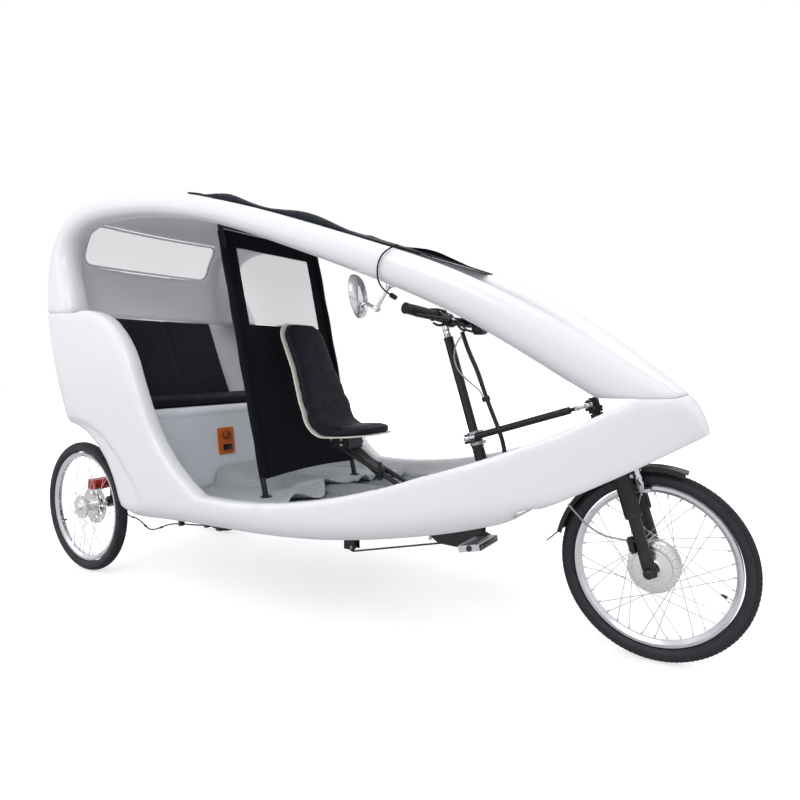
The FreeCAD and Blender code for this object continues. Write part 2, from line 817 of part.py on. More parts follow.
cover_thick = 8.0
cover_gap = 0.6
COVER_X = (870, 1745)
COVER_FROM = 5                # the first rail station that carries it, and its crown from there
COVER_CROWN = [20, 16, 12, 10, 8, 6, 4]


def cover_sections(rows, crowns):
    """Outlines of the cover across both rails, following the crown of the sheet below it."""
    sections = []
    for (x, z, angle, y_in, y_out, depth), crown in zip(rows, crowns):
        centre, out = rail_frame(x, z, angle)
        across = Y_DIR * (y_out - 0.46 * min(y_out - y_in, depth))
        base = centre + out * (depth / 2 + cover_gap)
        lift = out * cover_thick
        middle = base + out * crown
        sections.append(Part.Wire([
            arc(base - across, middle, base + across),
            line(base + across, base + across + lift),
            arc(base + across + lift, middle + lift, base - across + lift),
            line(base - across + lift, base - across),
        ]))
    return sections


def rain_cover():
    """Cloth that lies across the two rails over the roof and its open front."""
    whole = Part.makeLoft(cover_sections(RAIL[COVER_FROM:], COVER_CROWN), True, False)
    cover = whole.common(box(COVER_X, (-700, 700), (900, 2000)))
    below = NODES["roof_shell"].copy()
    below.translate(Z_DIR * seat_gap)
    export("rain_cover", cover.cut(below))


# ---------------------------------------------------------------- frame under the tub
SPINE = [(-30, 300), (430, 296), (1500, 300), (crank_x, crank_z), (2200, 586), (2300, 668)]
spine_wide = 44.0
spine_high = 56.0
head_radius = 21.0
steerer_radius = 14.0
head_low = 372.0              # along the fork's axis, up from beside the axle
head_high = 506.0
column_radius = 17.0
socket_radius = 22.0
socket_low = -372.0           # along the column's axis
socket_high = -206.0
bottom_bracket_half = 34.0
spindle_radius = 12.0
axle_half = track / 2 - rear_shaft_length - 6.0
upright_y = axle_half - 30.0
# Cross plates between the spine and the tub: x, underside z
CROSS_PLATES = [(700, 324), (1380, 327)]


def beam(a, b, wide, high, radius=6.0, past=0.0):
    """Straight rectangular tube between two points of one side plane."""
    run = b - a
    direction = V(run).normalize()
    up = direction.cross(Y_DIR).normalize()
    wire = round_rect(a - direction * past, Y_DIR, up, wide, high, radius)
    return Part.Face(wire).extrude(run + direction * (2 * past))


def main_frame():
    """Spine, steering head, column socket, bottom bracket, cross plates and rear axle tube."""
    pieces = []
    for (x0, z0), (x1, z1) in zip(SPINE, SPINE[1:]):
        pieces.append(beam(V(x0, 0, z0), V(x1, 0, z1), spine_wide, spine_high, past=10.0))
    pieces.append(rod(on_fork_axis(head_low), on_fork_axis(head_high), head_radius))
    pieces.append(rod(on_column(socket_low - 30), on_column(socket_high), socket_radius))
    pieces.append(Part.makeCylinder(26, 2 * axle_half, V(0, -axle_half, tyre_radius), Y_DIR))
    lowered = NODES["tub_shell"].copy()
    lowered.translate(Z_DIR * -seat_gap)
    for x, low in CROSS_PLATES:
        pieces.append(box((x - 20, x + 20), (-360, 360), (low, low + 30)).cut(lowered))
    for side in (-1, 1):
        y = side * upright_y
        pieces.append(beam(V(0, y, tyre_radius), V(64, y, 725), 30, 40).cut(lowered))
    shell = Part.makeCylinder(24, 2 * bottom_bracket_half,
                              V(crank_x, -bottom_bracket_half, crank_z), Y_DIR)
    frame = pieces[0].fuse(pieces[1:] + [shell])
    bores = [
        rod(on_fork_axis(head_low - 5), on_fork_axis(head_high + 5), steerer_radius + running_gap),
        rod(on_column(socket_low), on_column(socket_high + 5), column_radius + running_gap),
        Part.makeCylinder(spindle_radius + running_gap, 200, V(crank_x, -100, crank_z), Y_DIR),
        Part.makeCylinder(rear_axle_radius + running_gap, 2 * axle_half + 10,
                          V(0, -axle_half - 5, tyre_radius), Y_DIR),
    ]
    for bore in bores:
        frame = frame.cut(bore)
    export("main_frame", frame)


# ---------------------------------------------------------------- driver's seat
seat_skin = 6.0
seat_padding = 34.0
rail_spread = 28.0            # seat rails, either side of the centre plane
# Side line of the shell's front face: x, z from the top edge to the tip
SEAT_TOP = (986, 1136)
SEAT_WAIST = (1146, 752)
SEAT_TIP = (1432, 668)


def seat_profile(near, far):
    """Strip along the seat's side line between two offsets on its front side."""
    def edge(off):
        slope = 0.397
        back = V(math.cos(slope), 0, math.sin(slope)) * off
        pan = V(-0.03, 0, 0.9995) * off
        top = V(SEAT_TOP[0], 0, SEAT_TOP[1]) + back
        waist = V(SEAT_WAIST[0], 0, SEAT_WAIST[1]) + back
        bend = V(1174, 0, 692) + (back + pan) * 0.62
        heel = V(1250, 0, 658) + pan
        tip = V(SEAT_TIP[0], 0, SEAT_TIP[1]) + pan
        return top, waist, bend, heel, tip

    top, waist, bend, heel, tip = edge(near)
    top2, waist2, bend2, heel2, tip2 = edge(far)
    wire = Part.Wire([
        line(top, waist), arc(waist, bend, heel), line(heel, tip), line(tip, tip2),
        line(tip2, heel2), arc(heel2, bend2, waist2), line(waist2, top2), line(top2, top),
    ])
    face = Part.Face(wire)
    face.translate(Y_DIR * -200)
    return face.extrude(Y_DIR * 400)


def seat_outline(grow):
    """Front and top views of the seat, as the solid that trims it to its rounded shape."""
    half_top = 122 + grow
    half_low = 143 + grow
    side = [(half_low, 600), (half_low, 800), (half_top, 930), (half_top, 1070 + grow)]
    top_z = 1172 + grow
    front = Part.Wire([
        line(V(900, -half_low, 500), V(900, half_low, 500)),
        line(V(900, half_low, 500), V(900, side[1][0], side[1][1])),
        line(V(900, side[1][0], side[1][1]), V(900, half_top, 930)),
        line(V(900, half_top, 930), V(900, half_top, side[3][1])),
        arc(V(900, half_top, side[3][1]), V(900, half_top - 22, top_z - 26), V(900, 50, top_z)),
        line(V(900, 50, top_z), V(900, -50, top_z)),
        arc(V(900, -50, top_z), V(900, 22 - half_top, top_z - 26), V(900, -half_top, side[3][1])),
        line(V(900, -half_top, side[3][1]), V(900, -half_top, 930)),
        line(V(900, -half_top, 930), V(900, -side[1][0], side[1][1])),
        line(V(900, -side[1][0], side[1][1]), V(900, -half_low, 500)),
    ])
    front_view = Part.Face(front).extrude(X_DIR * 700)
    top_view = round_prism(850, SEAT_TIP[0] + grow, half_low, 105, 500, 1300)
    return front_view.common(top_view)


def seat():
    export("seat_shell", seat_profile(-seat_skin, 0).common(seat_outline(0)))
    pad = seat_profile(seat_gap, seat_padding).common(seat_outline(-5))
    export("seat_pad", pad)


def seat_rail():
    """Twin rails from the spine up to the seat, with the clamp under the shell."""
    low = V(1690, 0, 404)
    high = V(1176, 0, 634)
    rods = [rod(low + Y_DIR * y, high + Y_DIR * y, 9.0) for y in (-rail_spread, rail_spread)]
    foot = box((1668, 1712), (-rail_spread - 9, rail_spread + 9), (372, 412))
    saddle = box((1200, 1300), (-45, 45), (600, 651.7))
    brace = beam(V(1250, 0, 627), V(1440, 0, 500), 60, 18)
    whole = rods[0].fuse([rods[1], saddle, brace, foot])
    lever = rod(V(1290, -60, 622), V(1290, 60, 622), 5.0)
    whole = whole.fuse([lever, Part.makeSphere(11, V(1290, -64, 622))])
    slot = beam(V(1500, 0, 300), V(crank_x, 0, crank_z), spine_wide + 2 * seat_gap,
                spine_high + 2 * seat_gap, past=12.0)
    export("seat_rail", whole.cut(slot))


# ---------------------------------------------------------------- steering
stem_top = 214.0              # upper end of the column's tube
arm_low = -183.0              # lower face of the column's arm, along the column
arm_thick = 10.0
link_pin_radius = 5.0
link_eye_thick = 14.0
LINK_SIDE = -Y_DIR * steer_arm
BAR_END = V(1756, 300, 1124)
BAR_ELBOW = V(1826, 100, 1092)
BAR_MIDDLE = V(1815, 0, 1087)
# The fork's arm lies in the same slanted plane as the column's arm
fork_arm_low = (on_column(arm_low) - FORK_BASE).dot(-STEER_DOWN)


def slanted_disc(centre, radius, thick):
    """Disc square to the steering axes, from centre upward."""
    return Part.makeCylinder(radius, thick, centre, -STEER_DOWN)


def arm(axis_point, hub_radius, bore):
    """Flat lever from a steering axis to the link's pin, with the pin standing up from it."""
    end = axis_point + LINK_SIDE
    hub = slanted_disc(axis_point, hub_radius, arm_thick)
    eye = slanted_disc(end, 13.0, arm_thick)
    middle = axis_point + LINK_SIDE * 0.5
    bar = Part.Face(round_rect(middle, STEER_AHEAD, Y_DIR, 24, steer_arm, 2))
    bar = bar.extrude(-STEER_DOWN * arm_thick)
    pin = slanted_disc(end, link_pin_radius, arm_thick + link_eye_thick + 7.0)
    head = slanted_disc(end - STEER_DOWN * (arm_thick + link_eye_thick + 3.0), 9.0, 5.0)
    solid = hub.fuse([eye, bar, pin, head])
    if bore:
        solid = solid.cut(slanted_disc(axis_point + STEER_DOWN, bore, arm_thick + 2))
    return solid


def steering_column():
    tube = rod(on_column(socket_low + 2), on_column(stem_top), column_radius)
    column_arm = arm(on_column(arm_low), 25.0, 0)
    cup = rod(on_column(socket_high + 1), on_column(arm_low), 23.0)
    collar = rod(on_column(arm_low + arm_thick), on_column(arm_low + 26), 21.0)
    column = tube.fuse([column_arm, cup, collar])
    export("steering_column", column.cut(rod(on_column(90), on_column(stem_top + 5), 11.0)))


def handlebar():
    """Quill stem, clamp and swept-back bar."""
    quill = bent_tube([on_column(91), on_column(282), BAR_MIDDLE - V(0, 0, 2)], 10.7, 20)
    clamp = Part.makeCylinder(21, 44, V(BAR_ELBOW.x, -22, BAR_ELBOW.z), Y_DIR)
    points = [mirror_point(BAR_END), mirror_point(BAR_ELBOW), BAR_ELBOW, BAR_END]
    bar = bent_tube(points, 11.0, 60)
    export("handlebar", quill.fuse([clamp, bar]))


def mirror_point(point):
    return V(point.x, -point.y, point.z)


def bar_point(share, side):
    """Point along the straight end run of the bar, 0 at the elbow and 1 at the tip."""
    point = BAR_ELBOW + (BAR_END - BAR_ELBOW) * share
    return point if side > 0 else mirror_point(point)


def controls():
    """Grips, brake levers with their clamps, and the display with its lamp."""
    grips = []
    levers = []
    for side in (-1, 1):
        tip = bar_point(1.0, side)
        start = bar_point(0.42, side)
        run = (tip - start).normalize()
        grips.append(rod(start, tip + run * 4, 16.5).cut(rod(start - run, tip, 11.0 + seat_gap)))
        clamp_at = bar_point(0.30, side)
        clamp = rod(clamp_at - run * 9, clamp_at + run * 9, 17).cut(
            rod(clamp_at - run * 12, clamp_at + run * 12, 11.0 + seat_gap))
        root = clamp_at + V(24, 0, -4)
        body = rod(clamp_at + V(19, 0, 0), root + V(12, 0, -4), 11)
        blade = bent_tube([root, root + V(22, side * 14, -8), root + V(-34, side * 136, 2)], 6, 16)
        levers.append(clamp.fuse([body, blade]))
    export("grips", Part.makeCompound(grips))
    export("brake_levers", Part.makeCompound(levers))
    case = box((1838, 1872), (-40, 40), (1090, 1142))
    bracket = Part.makeCylinder(20, 26, V(BAR_ELBOW.x, 24, BAR_ELBOW.z), Y_DIR)
    bracket = bracket.fuse(box((BAR_ELBOW.x, 1848), (24, 50), (1080, 1108)))
    lamp = Part.makeCylinder(26, 40, V(1856, 0, 1070), X_DIR)
    whole = case.fuse([bracket, lamp])
    bar_bore = Part.makeCylinder(11 + seat_gap, 140, V(BAR_ELBOW.x, -70, BAR_ELBOW.z), Y_DIR)
    clamp_bore = Part.makeCylinder(21 + seat_gap, 44 + 2 * seat_gap,
                                   V(BAR_ELBOW.x, -22 - seat_gap, BAR_ELBOW.z), Y_DIR)
    export("display", whole.cut(bar_bore).cut(clamp_bore))


def steering_link():
    """Tube with flat eyes that ties the fork's arm to the column's."""
    lift = -STEER_DOWN * (arm_thick + 1.0)
    back = on_column(arm_low) + LINK_SIDE + lift
    front = FORK_BASE - STEER_DOWN * fork_arm_low + LINK_SIDE + lift
    high = -STEER_DOWN * (link_eye_thick / 2)
    eyes = [slanted_disc(point, 11.0, link_eye_thick) for point in (back, front)]
    necks = [
        rod(back + high + STEER_AHEAD * 8, back + high + STEER_AHEAD * 40, 6.5),
        rod(front + high - STEER_AHEAD * 70, front + high - STEER_AHEAD * 8, 6.5),
    ]
    tube = rod(back + high + STEER_AHEAD * 36, front + high - STEER_AHEAD * 62, link_radius)
    link = eyes[0].fuse([eyes[1], tube] + necks)
    for point in (back, front):
        link = link.cut(slanted_disc(point + STEER_DOWN, link_pin_radius + running_gap,
                                     link_eye_thick + 2))
    export("steering_link", link)


# ---------------------------------------------------------------- fork
leg_y = 67.0
crown_low = 334.0             # lower face of the crown, up along the fork's axis
crown_high = 362.0
fender_inner = 313.0
fender_thick = 3.0
FENDER_ANGLES = (72.0, 166.0)


def fork():
    """Steerer, crown, two legs in line with the axle, and the steering arm."""
    steerer = rod(on_fork_axis(crown_low + 4), on_fork_axis(fork_arm_low + 40), steerer_radius)
    lower_cup = rod(on_fork_axis(crown_high - 1), on_fork_axis(head_low - 2), 23.0)
    upper_cup = rod(on_fork_axis(head_high + 2), on_fork_axis(fork_arm_low), 23.0)
    upper_cup = upper_cup.fuse(rod(on_fork_axis(fork_arm_low + arm_thick),
                                   on_fork_axis(fork_arm_low + 34), 19.0))
    middle = on_fork_axis(crown_low) + STEER_AHEAD * (fork_offset * 0.5)
    crown = Part.Face(round_rect(middle, STEER_AHEAD, Y_DIR, 92, 2 * leg_y + 52, 24))
    crown = crown.extrude(-STEER_DOWN * (crown_high - crown_low))
    pieces = [lower_cup, upper_cup, crown, arm(on_fork_axis(fork_arm_low), 25.0, 0)]
    for side in (-1, 1):
        foot = FRONT_AXLE + Y_DIR * (side * leg_y)
        up = -STEER_DOWN
        pieces.append(rod(foot - up * 16, foot + up * 178, 19.0))
        pieces.append(rod(foot + up * 170, foot + up * (crown_low + 2), 25.0))
        pieces.append(Part.makeCylinder(12, 10, foot + Y_DIR * (side * 18 - 5), Y_DIR))
    axle = Part.makeCylinder(front_axle_radius, 2 * leg_y, FRONT_AXLE - Y_DIR * leg_y, Y_DIR)
    export("fork", steerer.fuse(pieces + [axle]))


def ring_sector(inner, outer, half, low, high, x, z):
    """Piece of a flat ring about a Y axis between two angles (degrees up from forward)."""
    face = Part.Face(outline((inner, -half), [
        ("to", outer, -half), ("to", outer, half), ("to", inner, half),
    ], lambda r, y: V(x + r, y, z)))
    turn = FreeCAD.Rotation(Y_DIR, -low)
    face = face.copy()
    face.Placement = FreeCAD.Placement(V(0, 0, 0), turn, V(x, 0, z)).multiply(face.Placement)
    return face.revolve(V(x, 0, z), Y_DIR, -(high - low))


def front_fender():
    """Narrow mudguard with a flap, hung from the crown."""
    inner = fender_inner
    outer = inner + fender_thick
    low, high = FENDER_ANGLES
    guard = ring_sector(inner, outer, 34, low, high, wheelbase, tyre_radius)
    sides = []
    for side in (-1, 1):
        strip = ring_sector(inner - 12, outer, 1.5, low, high, wheelbase, tyre_radius)
        strip.translate(Y_DIR * (side * 32.5))
        sides.append(strip)
    tab = rod(FRONT_AXLE - STEER_DOWN * (inner + 1), FRONT_AXLE - STEER_DOWN * (crown_low - 0.3), 9)
    turn = math.radians(high)
    end = V(wheelbase + (inner + 1.5) * math.cos(turn), 0, tyre_radius + (inner + 1.5) * math.sin(turn))
    away = V(-0.74, 0, -0.67)
    flap_mid = end + away * 27
    flap = Part.Face(round_rect(flap_mid, away, Y_DIR, 66, 60, 18))
    normal = away.cross(Y_DIR).normalize()
    flap.translate(normal * -1.5)
    export("front_fender", guard.fuse(sides + [tab, flap.extrude(normal * 3)]))


def front_brakes():
    """Rim brake on the crown and disc caliper behind the left leg."""
    arms = []
    for side in (-1, 1):
        pivot = FRONT_AXLE - STEER_DOWN * 292 + STEER_AHEAD * 27 + Y_DIR * (side * leg_y)
        pad_at = FRONT_AXLE - STEER_DOWN * 243 + STEER_AHEAD * 34 + Y_DIR * (side * 27)
        stud = rod(pivot + STEER_AHEAD * -1.7, pivot + STEER_AHEAD * 22, 8)
        blade = rod(pivot + STEER_AHEAD * 14, pad_at + Y_DIR * (side * 3), 7)
        pad = beam_y(pad_at, 58, 13, 16)
        arms.append(stud.fuse([blade, pad]))
    export("front_brake", Part.makeCompound(arms))


def beam_y(centre, length, wide, high):
    """Small block along the wheel's rim, centred on a point."""
    corner = centre - V(length / 2, wide / 2, high / 2)
    return Part.makeBox(length, wide, high, corner)


# ---------------------------------------------------------------- drive
ring_y = chain_y
chain_half = 3.5
chain_lift = 4.0
chain_ring = 105.0
arm_y = 88.0
# Pulleys in the order in which the chain passes them, going round to the left over the top:
# x, z, radius of the chain's middle line, 1 inside the loop or -1 outside it
PULLEYS = [
    (crank_x, crank_z, chain_ring, 1),
    (1500, 310, 20, -1),
    (0, tyre_radius, 38, 1),
    (1290, 245, 18, -1),
    (1316, 206, 18, 1),
]


def chain_wire(off, y):
    """Closed belt line about the pulleys, moved outward by off."""
    count = len(PULLEYS)
    leave = []
    enter = [None] * count
    for i in range(count):
        x0, z0, r0, side0 = PULLEYS[i]
        x1, z1, r1, side1 = PULLEYS[(i + 1) % count]
        r0 = side0 * r0 + off
        r1 = side1 * r1 + off
        gap = math.hypot(x1 - x0, z1 - z0)
        heading = math.atan2(z1 - z0, x1 - x0)
        tilt = heading + math.asin((r1 - r0) / gap) * -1 - math.pi / 2
        normal = V(math.cos(tilt), 0, math.sin(tilt))
        leave.append(V(x0, y, z0) + normal * r0)
        enter[(i + 1) % count] = V(x1, y, z1) + normal * r1
    edges = []
    for i in range(count):
        x, z, r, side = PULLEYS[i]
        centre = V(x, y, z)
        r = side * r + off
        a = (enter[i] - centre) * (1 / r)
        b = (leave[i] - centre) * (1 / r)
        from_angle = math.atan2(a.z, a.x)
        to_angle = math.atan2(b.z, b.x)
        if side > 0:
            while to_angle <= from_angle:
                to_angle += 2 * math.pi
        else:
            while to_angle >= from_angle:
                to_angle -= 2 * math.pi
        half_way = (from_angle + to_angle) / 2
        via = centre + V(math.cos(half_way), 0, math.sin(half_way)) * r
        edges.append(arc(enter[i], via, leave[i]))
        edges.append(line(leave[i], enter[(i + 1) % count]))
    return Part.Wire(edges)


def chain():
    y = chain_y - chain_half
    outer = Part.Face(chain_wire(chain_lift, y))
    inner = Part.Face(chain_wire(-chain_lift, y))
    export("chain", outer.cut(inner).extrude(Y_DIR * (2 * chain_half)))


def chain_idlers():
    """Chain tensioner, guide roller and rear sprocket, held by the frame."""
    face = -spine_wide / 2 - seat_gap
    roller = 18 - chain_lift - 0.6
    plate = box((1278, 1330), (face - 4, face), (196, 316))
    outer_plate = box((1278, 1330), (chain_y - 12, chain_y - 8), (196, 256))
    pieces = [outer_plate]
    for x, z in ((1290, 245), (1316, 206)):
        pieces.append(Part.makeCylinder(roller, 6, V(x, chain_y - 3, z), Y_DIR))
        pieces.append(Part.makeCylinder(4, face - chain_y + 12, V(x, chain_y - 12, z), Y_DIR))
    tensioner = plate.fuse(pieces)
    guide = Part.makeCylinder(20 - chain_lift - 0.6, 6, V(1500, chain_y - 3, 310), Y_DIR)
    guide = guide.fuse(Part.makeCylinder(5, face - chain_y + 8, V(1500, chain_y - 8, 310), Y_DIR))
    sprocket = Part.makeCylinder(38 - chain_lift - 0.6, 5, V(0, chain_y - 2.5, tyre_radius), Y_DIR)
    sprocket = sprocket.cut(Part.makeCylinder(26 + seat_gap, 9, V(0, chain_y - 4.5, tyre_radius),
                                              Y_DIR))
    export("chain_idlers", Part.makeCompound([tensioner, guide, sprocket]))


def chain_guard():
    """Outer plate beside the chain ring, on two spacers from the spine."""
    y = -73.0
    wire = outline((1652, 335), [
        ("to", 1655, 372), ("to", 1700, 420), ("to", 1900, 470), ("to", 1940, 440),
        ("to", 1918, 300), ("to", 1830, 281), ("to", 1735, 285),
    ], lambda x, z: V(x, y, z))
    plate = Part.Face(wire).extrude(Y_DIR * 3)
    plate = plate.cut(Part.makeCylinder(34, 9, V(crank_x, y - 3, crank_z), Y_DIR))
    face = -spine_wide / 2 - seat_gap
    spacers = []
    for x, z in ((1672, 354), (1912, 452)):
        spacers.append(Part.makeCylinder(7, face - y, V(x, y, z), Y_DIR))
    export("chain_guard", plate.fuse(spacers))


def crank_end(side):
    turn = math.radians(crank_rest_angle + (0 if side < 0 else 180))
    return V(crank_x + crank_length * math.cos(turn), side * arm_y,
             crank_z + crank_length * math.sin(turn))


def crankset():
    """Spindle, two arms and the chain ring."""
    spindle = Part.makeCylinder(spindle_radius, 2 * arm_y, V(crank_x, -arm_y, crank_z), Y_DIR)
    pieces = []
    for side in (-1, 1):
        hub = V(crank_x, side * arm_y, crank_z)
        end = crank_end(side)
        along = (end - hub).normalize()
        across = Y_DIR.cross(along)
        y_low = -6.5
        middle = (hub + end) * 0.5 + Y_DIR * y_low
        blade = Part.Face(round_rect(middle, along, across, crank_length + 30, 27, 13))
        pieces.append(blade.extrude(Y_DIR * 13))
        pieces.append(Part.makeCylinder(18, 19, hub - Y_DIR * 9.5, Y_DIR))
    ring = revolved((-2, 30), [
        ("to", -2, chain_ring - chain_lift - 0.6),
        ("to", 2, chain_ring - chain_lift - 0.6),
        ("to", 2, 30),
    ], crank_x, crank_z, chain_y)
    windows = []
    for k in range(5):
        turn = math.radians(72 * k)
        at = V(crank_x + 62 * math.cos(turn), chain_y - 5, crank_z + 62 * math.sin(turn))
        windows.append(Part.makeCylinder(25, 10, at, Y_DIR))
    ring = ring.cut(Part.makeCompound(windows))
    boss = Part.makeCylinder(31, 18, V(crank_x, chain_y - 12, crank_z), Y_DIR)
    boss = boss.cut(Part.makeCylinder(spindle_radius - 1, 30, V(crank_x, chain_y - 18, crank_z),
                                      Y_DIR))
    crank = spindle.fuse(pieces + [ring, boss])
    for side in (-1, 1):
        end = crank_end(side)
        crank = crank.cut(Part.makeCylinder(7 + running_gap, 60, end - Y_DIR * 30, Y_DIR))
    export("crankset", crank)


def pedals():
    """Platform pedals that turn on the arms' ends."""
    for side, name in ((-1, "pedal_right"), (1, "pedal_left")):
        end = crank_end(side)
        y_in = arm_y + 12.0
        middle = V(end.x, side * pedal_y, end.z)
        cage = beam_y(middle, pedal_length, 2 * (pedal_y - y_in), pedal_thick)
        for reach in (-24, 24):
            cage = cage.cut(beam_y(middle + X_DIR * reach, 20, 80, 2 * pedal_thick))
        cage.rotate(middle, Y_DIR, -pedal_pitch)
        pin = rod(V(end.x, side * (arm_y - 6), end.z), V(end.x, side * pedal_y, end.z), 7)
        export(name, cage.fuse(pin))


# ---------------------------------------------------------------- rear brakes and mirror
def rear_calipers():
    """A caliper astride each brake disc, bolted to the upright beside it."""
    made = []
    for side in (-1, 1):
        disc_y = side * (track / 2 - rear_hub_half - 4.0)
        inner = side * (upright_y + 15 + seat_gap)
        outer = disc_y + side * 11.0
        y_low, y_high = sorted((inner, outer))
        block = box((-34, 30), (y_low, y_high), (372, 418))
        gap_low, gap_high = sorted((disc_y - side * 6.5, disc_y + side * 6.5))
        block = block.cut(box((-60, 60), (gap_low, gap_high), (300, 396)))
        made.append(block)
    export("rear_calipers", Part.makeCompound(made))


def side_mirror():
    """Round mirror on a bent arm under the right rail."""
    centre = V(1612, -362, 1166)
    facing = V(-0.86, -0.34, -0.12).normalize()
    dish = Part.makeCone(mirror_radius, mirror_radius * 0.55, 22, centre, -facing)
    rim_ring = Part.makeCylinder(mirror_radius, 7, centre, facing)
    root = V(1745, -366, 1196)
    arm_rod = bent_tube([root, V(1690, -366, 1120), centre - facing * 18 + V(0, 0, -20)], 5.5, 18)
    base = Part.makeCylinder(14, 16, root - V(0, 0, 8), V(0.37, 0, 0.93))
    lowered = NODES["roof_shell"].copy()
    lowered.translate(Z_DIR * -seat_gap)
    export("side_mirror", dish.fuse([rim_ring, arm_rod, base]).cut(lowered))


# ---------------------------------------------------------------- cords
SPINE_NORMAL = Y_DIR.cross(V(SPINE[4][0] - SPINE[3][0], 0, SPINE[4][1] - SPINE[3][1])) * -1.0
SPINE_NORMAL.normalize()
loom_foot_x = 2003.0
gland_high = 20.0
gland_radius = 13.0


def spine_top(x):
    """Point on the rising spine's upper face."""
    (x0, z0), (x1, z1) = SPINE[3:5]
    slope = (z1 - z0) / (x1 - x0)
    centre = z0 + (x - x0) * slope
    return V(x, 0, centre + spine_high / 2 * math.hypot(1, slope))


def control_loom():
    """Sleeved cables that stand up from the spine, in front of the column, to the bar."""
    foot = spine_top(loom_foot_x) + SPINE_NORMAL * gland_high
    points = [foot, foot + SPINE_NORMAL * 52]
    points += [V(x, 0, z) for x, z in (
        (1966, 651), (1951, 698), (1920, 768), (1889, 846), (1864, 917), (1839, 966),
        (1818, 1015), (1804, 1056))]
    cord("control_loom", points, loom_radius)
    gland = rod(foot - SPINE_NORMAL * (gland_high - seat_gap), foot, gland_radius)
    low, high = points[4], points[5]
    along = (high - low).normalize()
    across = Y_DIR.cross(along)
    middle = low + along * 50
    tie = rod(middle - along * 8, middle + along * 8, loom_radius + 4.0)
    hold = middle + across * -13.0
    tie = tie.fuse(rod(hold - along * 8, hold + along * 8, signal_radius + 3.5))
    tie = tie.cut(rod(low, high, loom_radius + seat_gap))
    top = hold + along * 8
    cord("signal_cable", [V(1822, -36, 1040), V(1801, -37, 1019), V(1791, -37, 988),
                          V(1789, -36, 954), V(1803, -33, 915), V(1831, -26, 886),
                          V(1856, -16, 862), top + along * 26, top], signal_radius)
    return [gland, tie]


def brake_hose():
    """Hose of the right rear brake: out of the caliper, under the tub to its port."""
    points = [V(*p) for p in (
        (30, -300, 394), (84, -300, 394), (146, -312, 344), (206, -326, 292), (276, -342, 272),
        (352, -362, 281), (430, -386, 278), (508, -401, 254), (588, -409, 276),
        (662, -417, 304), (746, -420, 317), (826, -421, 321), (898, -418, 329), (962, -418, 329))]
    cord("brake_hose", points, hose_radius)
    lowered = NODES["tub_shell"].copy()
    lowered.translate(Z_DIR * -seat_gap)
    clips = []
    for i in (10, 12):
        at = points[i]
        block = box((at.x - 8, at.x + 8), (at.y - 9, at.y + 9), (at.z - 8, at.z + 40))
        reach = (points[i + 1] - points[i - 1]).normalize() * 20
        clips.append(block.cut(lowered).cut(rod(at - reach, at + reach, hose_radius + 1.0)))
    end = points[-1]
    port = box((end.x, end.x + 26), (end.y - 11, end.y + 11), (end.z - 10, end.z + 40))
    return clips + [port.cut(lowered)]


def motor_cable():
    """Cable that leaves the fork's leg and hangs back to the frame; it turns with the fork."""
    leg_high = 91.8
    leg = FRONT_AXLE - STEER_DOWN * leg_high - Y_DIR * leg_y
    start = leg - X_DIR * 28
    cord("motor_cable", [start, start - X_DIR * 46] + [V(*p) for p in (
        (2334, -72, 395), (2285, -76, 424), (2251, -74, 457),
        (2223, -68, 482))], motor_cable_radius)
    boss = rod(leg - X_DIR * 10, start, 6.5)
    export("motor_cable_gland", boss.cut(rod(leg + STEER_DOWN * 60, leg - STEER_DOWN * 60,
                                             19.0 + seat_gap)))


def rail_point(x, off, up):
    """Point of the right rail's section at x, off from its middle outward and up from it."""
    rows = [row for row in RAIL if row[2] < 0]
    before = [row for row in rows if row[0] <= x][-1]
    after = [row for row in rows if row[0] > x][0]
    share = (x - before[0]) / (after[0] - before[0])
    _, z, angle, y_in, y_out, _ = [a + share * (b - a) for a, b in zip(before, after)]
    centre, out = rail_frame(x, z, angle)
    return centre - Y_DIR * ((y_in + y_out) / 2 + off) + out * up


def cover_elastic():
    """Elastic from the cover's right front corner round the rail to its toggle."""
    edge = NODES["rain_cover"].common(box((COVER_X[1] - 1, COVER_X[1] + 1), (-352, -344),
                                          (900, 1700)))
    start = V(COVER_X[1], -348, edge.Solids[0].CenterOfMass.z)
    points = [start, start + X_DIR * 27, rail_point(1765, 42, 71), rail_point(1758, 85, 36),
              rail_point(1757, 86, -14), rail_point(1766, 55, -69), rail_point(1780, 9, -82)]
    cord("cover_elastic", points, elastic_radius)
    run = (points[-1] - points[-2]).normalize()
    return rod(points[-1], points[-1] + run * 22, 8.0)


def cords():
    """Every cord, and the glands, clips, port and toggle that hold them."""
    fittings = control_loom() + brake_hose() + [cover_elastic()]
    motor_cable()
    export("cord_fittings", Part.makeCompound(fittings))


# ---------------------------------------------------------------- main
def build():
    front_wheel()
    rear_wheel("rear_right", -1)
    rear_wheel("rear_left", 1)
    tub()
    roof()
    rear_window()
    bench()
    control_plate()
    floor()
    divider()
    rain_cover()
    main_frame()
    seat()
    seat_rail()
    steering_column()
    handlebar()
    controls()
    steering_link()
    fork()
    front_fender()
    front_brakes()
    chain()
    chain_idlers()
    chain_guard()
    crankset()
    pedals()
    rear_calipers()
    side_mirror()
    cords()


build()
os.makedirs("parts", exist_ok=True)
for node, shape in NODES.items():
    placed = shape.copy()
    placed.translate(V(-wheelbase / 2, 0, 0))
    placed.exportStep("parts/" + node + ".step")
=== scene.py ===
"""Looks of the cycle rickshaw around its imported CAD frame.  Metres, in the part's own frame."""

import json
import math

import bmesh
import bpy
import numpy as np
from mathutils import Matrix, Vector, noise
from mathutils.bvhtree import BVHTree
from mathutils.kdtree import KDTree


